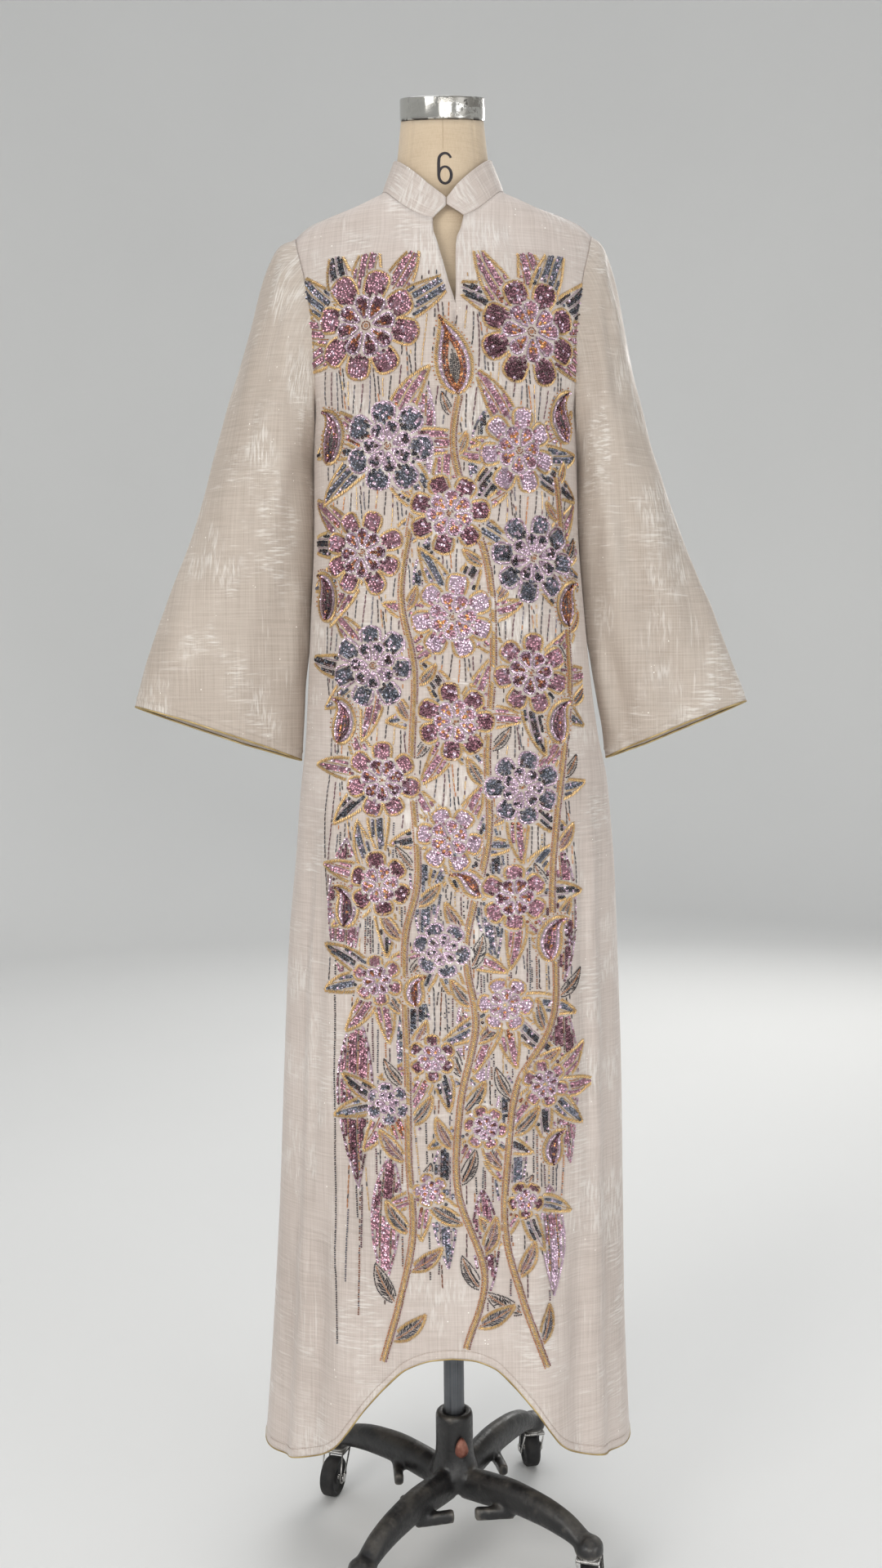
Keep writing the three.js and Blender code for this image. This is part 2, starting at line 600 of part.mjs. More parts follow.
// ---------------------------------------------------------------- hem piping
// The path hangs square below the hem edge, in the middle of the wall.
function hemPiping(panel, sheet) {
  const edge = [];
  for (let column = -HALF_COLUMNS; column <= HALF_COLUMNS; column += 1) {
    const p = sheet.points[sheet.number(0, column < 0 ? -1 : 1, Math.abs(column))].clone();
    p.y -= (panel * CLOTH) / 2;
    if (Math.abs(column) === HALF_COLUMNS) p.y = panel * (SEAM_GAP + CLOTH / 2);
    edge.push(p);
  }
  const last = edge.length - 1;
  const path = edge.map((p, k) => {
    const run = edge[Math.min(last, k + 1)].clone().sub(edge[Math.max(0, k - 1)]).normalize();
    const down = new THREE.Vector3(0, 0, -1).addScaledVector(run, run.z).normalize();
    return p.clone().addScaledVector(down, PIPING_RADIUS + 2 * SEAM_GAP);
  });
  return tubeAlong(path, PIPING_RADIUS, 6, false);
}
addPiece('hem_piping_front', hemPiping(-1, frontSheet), GOLD);
addPiece('hem_piping_back', hemPiping(1, backSheet), GOLD);

// ---------------------------------------------------------------- stand collar
// The neckline from one side of the slit round the back to the other side.
function necklinePoints() {
  const line = [];
  const take = (sheet, side, column) => sheet.points[sheet.number(PANEL_ROWS, side, column)].clone();
  for (let column = 0; column < NECK_COLUMNS; column += 1) line.push(take(frontSheet, -1, column));
  for (let column = NECK_COLUMNS; column > 0; column -= 1) line.push(take(backSheet, -1, column));
  for (let column = 0; column <= NECK_COLUMNS; column += 1) line.push(take(backSheet, 1, column));
  for (let column = NECK_COLUMNS - 1; column >= 0; column -= 1) line.push(take(frontSheet, 1, column));
  return line;
}

function collarGeometry() {
  const line = necklinePoints();
  const last = line.length - 1;
  const points = [];
  for (let row = 0; row <= COLLAR_ROWS; row += 1) {
    const up = row / COLLAR_ROWS;
    line.forEach((foot, k) => {
      const turn = (2 * Math.PI * k) / last;
      const front = Math.cos(turn) > 0;
      const sideways = Math.sin(turn);
      const crest = new THREE.Vector3(
        -COLLAR.topX * sideways,
        -Math.cos(turn) * (front ? COLLAR.topFront : COLLAR.topBack),
        front
          ? lerp(COLLAR.frontZ, COLLAR.sideZ, Math.abs(sideways))
          : lerp(COLLAR.backZ, COLLAR.sideZ, Math.abs(sideways)),
      );
      const point = foot.clone().lerp(crest, up);
      point.z += 2 * SEAM_GAP;
      const end = k === 0 ? -1 : 1;
      if (k === 0 || k === last) {
        const meet = COLLAR_MEET_X + end * SEAM_GAP;
        point.x = lerp(foot.x, meet, Math.min(1, up / COLLAR_JOIN));
      }
      points.push(point);
    });
  }
  const quads = [];
  const across = line.length;
  for (let row = 0; row < COLLAR_ROWS; row += 1) {
    for (let k = 0; k < last; k += 1) {
      quads.push([
        (row + 1) * across + k,
        (row + 1) * across + k + 1,
        row * across + k + 1,
        row * across + k,
      ]);
    }
  }
  return wallFrom(points, quads, CLOTH, (k, normal) => {
    if (k < across) normal.z = 0;
  });
}
addPiece('collar', collarGeometry(), LINEN);

// ---------------------------------------------------------------- dress form, cap and pole
function formRing(row) {
  const leaning = (row.z - NECK_LEAN.from) / (NECK_LEAN.to - NECK_LEAN.from);
  const slope = Math.tan(radians(NECK_LEAN.degrees * Math.max(0, leaning)));
  const ring = [];
  for (let s = 0; s < FORM_SIDES; s += 1) {
    const angle = (2 * Math.PI * s) / FORM_SIDES;
    const power = 2 / row.square;
    const c = Math.cos(angle);
    const d = Math.sin(angle);
    const x = row.half * Math.sign(c) * Math.abs(c) ** power;
    const y = (d < 0 ? row.front : row.back) * Math.sign(d) * Math.abs(d) ** power;
    ring.push(new THREE.Vector3(x, y, row.z + y * slope));
  }
  return ring;
}
addPiece('dress_form', loft(FORM.map(formRing)), FORM_CLOTH);

const capProfile = [
  [0, 0],
  [CAP.radius, 0],
  [CAP.radius, CAP.height - CAP.edge],
  [CAP.radius - CAP.edge * 0.3, CAP.height - CAP.edge * 0.3],
  [CAP.radius - CAP.edge, CAP.height],
  [0, CAP.height],
];
const cap = turned(capProfile, 32).rotateX(radians(NECK_LEAN.degrees)).translate(0, 0, CAP.at);
addPiece('neck_cap', cap, CHROME);
addPiece('pole', upright(POLE.radius, POLE.bottom, POLE.top, 24), STEEL);

// ---------------------------------------------------------------- cast base
function legGeometry(angle) {
  const along = new THREE.Vector3(Math.cos(angle), Math.sin(angle), 0);
  const across = new THREE.Vector3(-Math.sin(angle), Math.cos(angle), 0);
  const rings = LEG.map((row) =>
    Array.from({ length: LEG_SIDES }, (_, s) => {
      const turn = (2 * Math.PI * s) / LEG_SIDES;
      const point = along.clone().multiplyScalar(row.reach);
      point.addScaledVector(across, (Math.cos(turn) * row.width) / 2);
      point.z = row.z + (Math.sin(turn) * row.height) / 2;
      return point;
    }),
  );
  return loft(rings);
}

function placeOnLeg(geometry, angle, reach) {
  return geometry.translate(Math.cos(angle) * reach, Math.sin(angle) * reach, 0);
}

function socketGeometry(angle) {
  const dome = SOCKET.top - SOCKET.shoulder;
  const profile = [[0, SOCKET.bottom], [SOCKET.radius, SOCKET.bottom]];
  for (let step = 0; step < 4; step += 1) {
    const turn = (step / 4) * (Math.PI / 2);
    profile.push([SOCKET.radius * Math.cos(turn), SOCKET.shoulder + dome * Math.sin(turn)]);
  }
  profile.push([0, SOCKET.top]);
  return placeOnLeg(turned(profile, 16), angle, SOCKET.reach);
}

// Two stubs reach towards each other between neighbouring legs and leave a gap.
function braceGeometry(angle, side) {
  const stub = new THREE.BoxGeometry(BRACE.width, BRACE.length, BRACE.height);
  stub.rotateZ(side * radians(45));
  stub.translate(BRACE.reach, side * BRACE.length * 0.4, BRACE.z);
  return stub.rotateZ(angle);
}

function baseSolid() {
  const hubProfile = [
    [0, HUB.bottom],
    [HUB.foot, HUB.bottom],
    [HUB.foot + 3, HUB.bottom + 20],
    [HUB.radius + 1, HUB.bottom + 38],
    [HUB.radius, HUB.bottom + 50],
    [HUB.radius, HUB.top - 3],
    [HUB.radius - 3, HUB.top],
    [0, HUB.top],
  ];
  let solid = toSolid(turned(hubProfile, 24));
  for (const degrees of LEG_ANGLES) {
    const angle = radians(degrees);
    solid = solid.add(toSolid(legGeometry(angle))).add(toSolid(socketGeometry(angle)));
    solid = solid.add(toSolid(braceGeometry(angle, 1))).add(toSolid(braceGeometry(angle, -1)));
  }
  for (const degrees of LEG_ANGLES) {
    const bore = upright(SOCKET.bore, SOCKET.bottom - 5, SOCKET.boreTop, 12);
    solid = solid.subtract(toSolid(placeOnLeg(bore, radians(degrees), SOCKET.reach)));
  }
  solid = solid.subtract(toSolid(upright(HUB.bore, 40, HUB.top + 5, 24)));
  const screwHole = new THREE.CylinderGeometry(SCREW.bore, SCREW.bore, 40, 12);
  screwHole.rotateZ(Math.PI / 2).translate(20 + POLE.radius / 2, 0, 0).rotateZ(radians(SCREW.angle));
  return solid.subtract(toSolid(screwHole.translate(0, 0, SCREW.z)));
}
addPiece('stand_base', toGeometry(baseSolid()), CAST_IRON);

// The clamp screw: a stem that bears on the pole and a pear-shaped head.
function screwGeometry() {
  const start = POLE.radius + SEAM_GAP;
  const headAt = HUB.radius + SCREW.headGap;
  const stem = new THREE.CylinderGeometry(SCREW.radius, SCREW.radius, headAt + 1 - start, 12);
  stem.rotateZ(Math.PI / 2).translate((start + headAt + 1) / 2, 0, 0);
  const pear = new THREE.Shape();
  pear.absarc(0, 0, SCREW.head, Math.PI * 0.86, Math.PI * 2.14, false);
  pear.lineTo(SCREW.head * 0.3, SCREW.point);
  pear.lineTo(-SCREW.head * 0.3, SCREW.point);
  const flat = { depth: SCREW.thick, bevelEnabled: false, curveSegments: 10 };
  const head = new THREE.ExtrudeGeometry(pear, flat);
  head.rotateX(Math.PI / 2).rotateZ(Math.PI / 2).translate(headAt, 0, 0);
  const solid = toSolid(stem).add(toSolid(head));
  return toGeometry(solid).rotateZ(radians(SCREW.angle)).translate(0, 0, SCREW.z);
}
addPiece('clamp_screw', screwGeometry(), BRONZE);

// ---------------------------------------------------------------- casters
// Fork and wheel are drawn with the stem on Z and the wheel trailing along +X, then turned and placed.
function forkGeometry() {
  const inner = CASTER.width / 2 + CASTER.cheekGap;
  const width = 2 * (inner + CASTER.cheek);
  const crown = new THREE.BoxGeometry(CROWN.length, width, CROWN.top - CROWN.bottom);
  crown.translate(1, 0, (CROWN.top + CROWN.bottom) / 2);
  const cheekShape = new THREE.Shape();
  cheekShape.moveTo(-12, CROWN.top);
  cheekShape.lineTo(14, CROWN.top);
  cheekShape.lineTo(CASTER.trail + 8, CASTER.radius);
  cheekShape.absarc(CASTER.trail, CASTER.radius, 8, 0, -Math.PI, true);
  let solid = toSolid(crown).add(toSolid(upright(STEM_RADIUS, CROWN.top - 1, STEM_TOP, 12)));
  const flat = { depth: CASTER.cheek, bevelEnabled: false, curveSegments: 6 };
  for (const side of [-1, 1]) {
    const cheek = new THREE.ExtrudeGeometry(cheekShape, flat);
    cheek.rotateX(Math.PI / 2).translate(0, side > 0 ? inner + CASTER.cheek : -inner, 0);
    solid = solid.add(toSolid(cheek));
  }
  const axle = new THREE.CylinderGeometry(CASTER.axle, CASTER.axle, width + 5, 12);
  solid = solid.add(toSolid(axle.translate(CASTER.trail, 0, CASTER.radius)));
  return toGeometry(solid);
}

const WHEEL_SIDES = 16;
function wheelGeometry() {
  const half = CASTER.width / 2;
  const outer = CASTER.radius / Math.cos(Math.PI / WHEEL_SIDES);
  const profile = [
    [CASTER.bore, -half + 2],
    [9, -half + 2],
    [outer - 6, -half + 3],
    [outer - 3, -half],
    [outer, -half + 4],
    [outer, half - 4],
    [outer - 3, half],
    [outer - 6, half - 3],
    [9, half - 2],
    [CASTER.bore, half - 2],
    [CASTER.bore, -half + 2],
  ];
  const wheel = new THREE.LatheGeometry(profile.map(([r, y]) => new THREE.Vector2(r, y)), WHEEL_SIDES);
  wheel.rotateY(Math.PI / WHEEL_SIDES); // a flat of the tread faces down
  return wheel.translate(CASTER.trail, 0, CASTER.radius);
}

LEG_ANGLES.forEach((degrees, k) => {
  const stem = new THREE.Group();
  const angle = radians(degrees);
  stem.position.set(Math.cos(angle) * SOCKET.reach, Math.sin(angle) * SOCKET.reach, 0);
  stem.rotation.z = radians(CASTER_TRAILS[k]);
  for (const [name, geometry, material] of [
    [`caster_fork_${k + 1}`, forkGeometry(), STEEL],
    [`caster_wheel_${k + 1}`, wheelGeometry(), RUBBER],
  ]) {
    const mesh = new THREE.Mesh(geometry, material);
    mesh.name = name;
    stem.add(mesh);
  }
  group.add(stem);
});

export default group;
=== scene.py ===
"""Looks of an abaya on a limbless dress form with a wheeled stand.

Shapes are worked out in millimetres and become metres when a mesh is made. +Z is up, the garment's front
faces -Y, and "right" is the wearer's right, towards -X.
"""
import math

import bmesh
import bpy
import numpy as np
from mathutils import Matrix, Vector
from mathutils.bvhtree import BVHTree


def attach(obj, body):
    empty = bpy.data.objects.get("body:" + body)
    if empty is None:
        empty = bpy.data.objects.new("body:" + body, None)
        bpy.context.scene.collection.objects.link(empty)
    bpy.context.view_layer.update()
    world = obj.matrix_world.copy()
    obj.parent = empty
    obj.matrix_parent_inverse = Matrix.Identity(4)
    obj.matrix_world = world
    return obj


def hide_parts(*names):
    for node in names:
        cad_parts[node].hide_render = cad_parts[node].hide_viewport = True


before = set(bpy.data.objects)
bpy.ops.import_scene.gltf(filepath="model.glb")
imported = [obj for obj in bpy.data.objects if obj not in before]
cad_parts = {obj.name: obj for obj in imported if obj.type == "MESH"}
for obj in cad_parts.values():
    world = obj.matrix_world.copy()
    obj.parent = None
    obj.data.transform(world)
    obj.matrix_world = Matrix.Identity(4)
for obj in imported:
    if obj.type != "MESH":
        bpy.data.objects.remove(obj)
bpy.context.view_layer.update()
random = np.random.default_rng(6)

MM = 0.001

# ---------------------------------------------------------------- camera
LENS = 35.64
CAMERA_PLACE = (-0.0089, -1.87, 1.10)
CAMERA_PITCH = math.radians(4.45)
CAMERA_ROLL = math.radians(0.553)


def add_camera():
    data = bpy.data.cameras.new("camera")
    data.lens = LENS
    data.sensor_width = 36
    camera = bpy.data.objects.new("camera", data)
    bpy.context.scene.collection.objects.link(camera)
    forward = Vector((0, math.cos(CAMERA_PITCH), -math.sin(CAMERA_PITCH)))
    level = Vector((1, 0, 0))
    lift = Vector((0, math.sin(CAMERA_PITCH), math.cos(CAMERA_PITCH)))
    right = level * math.cos(CAMERA_ROLL) - lift * math.sin(CAMERA_ROLL)
    up = level * math.sin(CAMERA_ROLL) + lift * math.cos(CAMERA_ROLL)
    turn = Matrix((right, up, -forward)).transposed().to_4x4()
    camera.matrix_world = Matrix.Translation(CAMERA_PLACE) @ turn
    bpy.context.scene.camera = camera


add_camera()


# ---------------------------------------------------------------- tables
def table(names, *rows):
    """Named columns of a table."""
    return dict(zip(names.split(), np.array(rows, float).T))


# Body sections: half width, offset of the middle in X, depth of the front and back, and how square their
# curves are.
BODY = table(
    "z half mid front back squareFront squareBack",
    (100, 229, -9, 152, 152, 2.3, 2.3),
    (150, 226, -8, 150, 150, 2.3, 2.3),
    (300, 217, -5, 146, 146, 2.3, 2.3),
    (450, 211, -1, 141, 142, 2.3, 2.3),
    (612, 206, 2, 136, 138, 2.3, 2.3),
    (774, 199, 4, 130, 132, 2.3, 2.3),
    (883, 191, 7, 124, 127, 2.3, 2.3),
    (960, 184, 7, 119, 123, 2.3, 2.3),
    (1010, 176, 5, 116, 120, 2.3, 2.3),
    (1060, 171, 3, 113, 117, 2.3, 2.3),
    (1150, 164, 1, 108, 110, 2.3, 2.3),
    (1267, 157, 0, 107, 101, 2.3, 2.3),
    (1383, 156, 0, 111, 98, 2.2, 2.2),
    (1430, 168, 0, 112, 99, 2.1, 2.1),
    (1500, 178, 0, 107, 98, 2.0, 2.0),
    (1560, 183, 0, 93, 88, 1.8, 1.9),
    (1598, 175, 0, 77, 79, 1.5, 1.7),
    (1612, 158, 0, 72, 75, 1.55, 1.6),
    (1633, 107, 0, 66, 69, 1.7, 1.7),
    (1647, 72, 0, 60, 64, 2.0, 2.0),
    (1656, 70, 0, 58, 61, 2.0, 2.0),
)
SHOULDER = table("x z", (72, 1647), (107, 1633), (158, 1612), (175, 1598))
ARMHOLE = table("z x", (1383, 156), (1420, 151), (1480, 152), (1540, 161), (1580, 171), (1598, 175))
HEM = table(
    "share z",
    (0, 305), (0.1, 303), (0.22, 293), (0.32, 272), (0.42, 243), (0.5, 214),
    (0.57, 194), (0.68, 177), (0.8, 165), (0.9, 157), (1, 153),
)
SLIT = table(
    "z left right",
    (305, -2, -2), (1100, 1, 1), (1400, 9, 9), (1498, 12, 12), (1520, 6, 13),
    (1551, -2, 13), (1574, -8, 14), (1588, -12, 19), (1604, -12, 23),
)
SIDE_HEM_Z, ARMPIT_Z = 153, 1383
TIP_X, TIP_Z = 175, 1598
NECK_X, NECK_Z, NECK_FRONT_Z, NECK_BACK_Z = 72, 1647, 1600, 1654
NECK_SHARE = 1 / 3  # share of a half panel's columns that lie under the collar
SLIT_SHARE = 0.92
SEAM_GAP = 0.3
WALL = 1.0  # thickness of the cloth that shows
COLLAR_WALL = 1.3
PIPING_RADIUS = 1.3
POLE_RADIUS = 12.7

# Long folds of the body. A negative depth is a ridge.
BODY_FOLDS = [
    # panel, share, from, to, depth, width
    (-1, -0.9, 1010, 760, 9, 0.05),
    (-1, 0.9, 1010, 760, 9, 0.05),
    (-1, -0.73, 760, 420, 7, 0.07),
    (-1, 0.71, 700, 380, 8, 0.07),
    (-1, -0.5, 620, 250, -8, 0.12),
    (-1, 0.48, 560, 230, -9, 0.11),
    (1, -0.88, 1020, 740, 9, 0.05),
    (1, 0.9, 990, 700, 8, 0.05),
    (1, -0.55, 900, 420, 9, 0.09),
    (1, 0.57, 860, 400, 8, 0.09),
    (1, 0.05, 780, 330, 7, 0.1),
    (1, -0.28, 820, 330, -8, 0.12),
    (1, 0.3, 760, 300, -7, 0.12),
]

SLEEVE = table(
    "along inZ outZ inRight inLeft outRight outLeft depth",
    (0, 1383, 1598, 156, 156, 175, 175, 56),
    (0.04, 1376, 1590, 157, 157, 192, 186, 59),
    (0.1, 1366, 1571, 155, 155, 204, 195, 62),
    (0.2, 1345, 1526, 154, 154, 219, 206, 62),
    (0.32, 1315, 1462, 154, 154, 238, 217, 58),
    (0.45, 1270, 1377, 155, 155, 265, 238, 52),
    (0.6, 1205, 1269, 159, 160, 296, 273, 46),
    (0.75, 1125, 1175, 164, 168, 334, 310, 41),
    (0.87, 1060, 1112, 172, 181, 358, 336, 38),
    (1, 986, 1052, 177, 191, 376, 359, 36),
)
SLEEVE_FOLDS = [
    # side, layer, across, lean, from, to, depth, width
    (1, -1, -0.72, 0, 0.35, 0.8, 9, 0.16),
    (1, -1, 0.1, -0.5, 0.1, 0.4, 5, 0.2),
    (1, 1, -0.4, 0.2, 0.3, 0.8, 7, 0.22),
    (-1, -1, 0.3, -0.7, 0.15, 0.5, 6, 0.2),
    (-1, -1, -0.6, 0.1, 0.4, 0.9, 5, 0.2),
    (-1, 1, -0.3, 0.3, 0.3, 0.8, 7, 0.22),
]
CUFF_BOW = 6

COLLAR_TOP = {"x": 58, "front": 64, "back": 55, "sideZ": 1683, "backZ": 1688, "frontZ": 1626}
COLLAR_JOIN = 0.62
COLLAR_MEET_X = 3.5

FORM = table(
    "z half front back square",
    (826, 126, 88, 86, 2.2), (842, 141, 99, 98, 2.2), (900, 151, 104, 106, 2.2),
    (990, 155, 103, 108, 2.2), (1080, 150, 97, 104, 2.2), (1170, 134, 86, 90, 2.2),
    (1240, 122, 81, 78, 2.2), (1310, 127, 91, 80, 2.2), (1380, 139, 101, 86, 2.2),
    (1430, 145, 102, 88, 2.1), (1500, 149, 96, 86, 2.1), (1550, 153, 83, 77, 1.9),
    (1583, 159, 70, 68, 1.7), (1600, 156, 66, 65, 1.6), (1612, 143, 63, 62, 1.5),
    (1631, 105, 42, 42, 1.35), (1643, 65, 51, 50, 1.7), (1656, 58, 53, 52, 2),
    (1684, 53.5, 51, 50, 2), (1731, 48.5, 46.5, 46.5, 2),
)
FORM_BOTTOM, NECK_LEAN_FROM, NECK_TOP = 826, 1656, 1731
NECK_LEAN = 15.6  # degrees by which the neck's level sections tip forward at its top
CAP = {"radius": 49.5, "at": 1731.3, "height": 25}

# Creases pressed into the worn cloth, each from one point to another over X and Z. bow bends it sideways.
CREASES = {
    "front": [
        # x1, z1, x2, z2, bow, depth, width
        (-150, 1000, -176, 380, -6, 4.0, 9),
        (156, 1000, 168, 380, 6, 3.8, 9),
        (-118, 640, -104, 300, 8, 4.4, 15),
        (118, 560, 112, 280, -7, 4.2, 14),
        (-168, 480, -158, 230, -5, 3.0, 11),
        (164, 520, 150, 240, 6, 3.2, 12),
        (-48, 520, -60, 340, 3, 1.0, 5),
        (40, 470, 26, 330, -5, 1.1, 6),
        (96, 620, 84, 330, 4, 1.2, 6),
        (-20, 420, 22, 330, 6, 1.1, 7),
        (46, 1600, 58, 1500, 3, 1.3, 6),
        (62, 1618, 84, 1536, -4, 1.2, 7),
        (-52, 1606, -66, 1524, 4, 1.0, 7),
        (-30, 1592, -34, 1530, 2, 0.8, 5),
        (132, 1560, 138, 1430, -3, 2.2, 7),
        (121, 1590, 128, 1500, 2, 1.2, 6),
        (-136, 1550, -140, 1440, 4, 2.0, 8),
        (148, 1405, 96, 1330, 6, 2.6, 11),
        (-146, 1400, -100, 1340, -5, 2.4, 11),
        (140, 1372, 104, 1270, 6, 1.6, 10),
        (-138, 1366, -112, 1262, -4, 1.5, 9),
        (-128, 1240, -138, 1060, 5, 1.8, 9),
        (132, 1200, 142, 1020, -4, 1.8, 9),
        (-100, 900, -116, 740, -4, 1.0, 9),
        (70, 760, 92, 640, 4, 1.0, 9),
    ],
    "back": [
        (-146, 1405, -84, 1330, -7, 2.8, 12),
        (144, 1402, 90, 1322, 6, 2.6, 12),
        (-128, 1560, -138, 1440, 3, 1.8, 8),
        (126, 1556, 136, 1446, -3, 2.0, 8),
        (-34, 1630, -40, 1470, 4, 1.4, 9),
        (22, 1634, 30, 1490, -3, 1.2, 8),
        (-70, 1280, -96, 880, 8, 4.0, 13),
        (64, 1260, 92, 860, -8, 4.2, 12),
        (-10, 1180, 4, 740, 6, 3.2, 13),
        (-44, 760, -70, 300, -7, 4.0, 13),
        (46, 720, 74, 290, 8, 4.2, 12),
        (-150, 960, -160, 520, 4, 2.2, 9),
        (150, 930, 158, 540, -4, 2.2, 9),
        (30, 560, 44, 330, 3, 1.3, 7),
        (-52, 500, -46, 320, -3, 1.2, 7),
        (108, 480, 118, 250, 4, 1.8, 10),
        (-112, 520, -126, 270, -5, 1.9, 11),
    ],
    "sleeve_right": [
        (-184, 1586, -206, 1470, -4, 1.6, 6),
        (-172, 1578, -184, 1450, 3, 1.4, 6),
        (-196, 1560, -232, 1380, 6, 1.8, 9),
        (-170, 1380, -206, 1220, 8, 2.6, 12),
        (-190, 1420, -250, 1180, -9, 2.2, 14),
        (-300, 1190, -330, 1080, 6, 2.0, 12),
        (-226, 1180, -250, 1020, 5, 2.0, 13),
        (-170, 1240, -184, 1050, 3, 2.4, 8),
        (-356, 1076, -316, 1066, 2, 2.2, 4),
    ],
    "sleeve_left": [
        (182, 1586, 200, 1480, 3, 1.8, 6),
        (171, 1580, 180, 1450, -3, 1.8, 6),
        (176, 1500, 186, 1380, -2, 1.6, 6),
        (190, 1540, 214, 1390, -5, 1.6, 9),
        (172, 1372, 196, 1190, -6, 2.8, 10),
        (186, 1290, 214, 1050, 5, 2.6, 13),
        (236, 1360, 276, 1120, 8, 2.0, 14),
        (300, 1200, 322, 1080, -5, 1.8, 12),
        (180, 1130, 196, 1010, 2, 3.0, 8),
    ],
}


# ---------------------------------------------------------------- small helpers
def lerp(a, b, t):
    return a + (b - a) * t


def smooth(t):
    t = np.clip(t, 0, 1)
    return t * t * (3 - 2 * t)


def bell(t):
    return np.exp(-t * t)


def read(rows, key, column, at):
    """A table's column at places along its key, on a smooth curve that never overshoots the rows."""
    keys, values = rows[key], rows[column]
    at = np.clip(at, keys[0], keys[-1])
    slopes = np.diff(values) / np.diff(keys)
    product = slopes[:-1] * slopes[1:]
    total = slopes[:-1] + slopes[1:]
    inner = np.where(product > 0, 2 * product / np.where(product > 0, total, 1), 0)
    tangents = np.concatenate([slopes[:1], inner, slopes[-1:]])
    i = np.clip(np.searchsorted(keys, at, side="right") - 1, 0, len(keys) - 2)
    step = keys[i + 1] - keys[i]
    t = (at - keys[i]) / step
    return (
        values[i] * (1 + 2 * t) * (1 - t) ** 2
        + values[i + 1] * t * t * (3 - 2 * t)
        + step * (tangents[i] * t * (1 - t) ** 2 + tangents[i + 1] * t * t * (t - 1))
    )


def grid_faces(rows, columns, closed=False, flip=False):
    """Quads of a grid of points, row after row. A closed grid joins its last column to its first."""
    across = columns if closed else columns - 1
    row, column = np.meshgrid(np.arange(rows - 1), np.arange(across), indexing="ij")
    beside = (column + 1) % columns
    here, above = row * columns, (row + 1) * columns
    faces = np.stack([here + column, here + beside, above + beside, above + column], axis=-1).reshape(-1, 4)
    return faces[:, ::-1] if flip else faces


def vertex_normals(points, faces):
    """Mean outward normal at each point of a mesh of quads."""
    across = points[faces[:, 2]] - points[faces[:, 0]]
    along = points[faces[:, 3]] - points[faces[:, 1]]
    face_normals = np.cross(across, along)
    normals = np.zeros_like(points)
    for k in range(4):
        np.add.at(normals, faces[:, k], face_normals)
    return normals / np.maximum(np.linalg.norm(normals, axis=1, keepdims=True), 1e-12)


def creased(x, z, rows):
    """How far inwards the creases push the cloth at a place. Each trough has a low ridge on both sides."""
    total = np.zeros_like(x)
    for x1, z1, x2, z2, bow, depth, width in rows:
        length = math.hypot(x2 - x1, z2 - z1)
        t = ((x - x1) * (x2 - x1) + (z - z1) * (z2 - z1)) / length**2
        off = ((x - x1) * (z2 - z1) - (z - z1) * (x2 - x1)) / length - bow * np.sin(np.pi * np.clip(t, 0, 1))
        off = np.abs(off) / width
        ends = smooth(t / 0.35) * smooth((1 - t) / 0.35)
        total += depth * ends * (bell(off) - 0.4 * bell(off - 1.9))
    return total


def rumpled(u, v, amount, seed):
    """Uneven, very shallow waves of soft cloth."""
    waves = np.random.default_rng(seed)
    total = np.zeros_like(u)
    for _ in range(9):
        angle, phase = waves.uniform(0, np.pi), waves.uniform(0, 6.28)
        length = waves.uniform(38, 130)
        total += np.sin((u * np.cos(angle) * 1.7 + v * np.sin(angle)) * 6.28 / length + phase) * length / 90
    return total * amount / 3


# ---------------------------------------------------------------- making meshes
def new_mesh(name, points, faces, uv=None, tint=None, shade_smooth=True):
    """A mesh object in metres from points in millimetres and an array of faces with equal corner counts."""
    corners = faces.shape[1]
    mesh = bpy.data.meshes.new(name)
    mesh.vertices.add(len(points))
    mesh.vertices.foreach_set("co", (np.asarray(points, float) * MM).ravel())
    mesh.loops.add(faces.size)
    mesh.loops.foreach_set("vertex_index", faces.ravel())
    mesh.polygons.add(len(faces))
    mesh.polygons.foreach_set("loop_start", np.arange(0, faces.size, corners))
    mesh.update(calc_edges=True)
    mesh.polygons.foreach_set("use_smooth", np.full(len(faces), shade_smooth))
    if uv is not None:
        layer = mesh.uv_layers.new(name="cloth")
        layer.data.foreach_set("uv", (np.asarray(uv, float) * MM)[faces.ravel()].ravel())
    if tint is not None:
        mesh.attributes.new("tint", "FLOAT", "POINT").data.foreach_set("value", tint)
    mesh.validate()
    piece = bpy.data.objects.new(name, mesh)
    bpy.context.scene.collection.objects.link(piece)
    return piece


def finish_piece(piece, material, slot, body, *nodes):
    """Gives a piece its material and body, and hides the CAD nodes it stands for. Its slot is not used."""
    piece.data.materials.append(material)
    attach(piece, body)
    if nodes:
        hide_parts(*nodes)
    return piece


def apply_modifiers(piece):
    graph = bpy.context.evaluated_depsgraph_get()
    done = bpy.data.meshes.new_from_object(piece.evaluated_get(graph))
    piece.modifiers.clear()
    piece.data = done


def thicken(piece, wall):
    """Gives a sheet its wall, inwards from the side that shows."""
    solid = piece.modifiers.new("wall", "SOLIDIFY")
    solid.thickness = wall * MM
    solid.offset = -1
    apply_modifiers(piece)


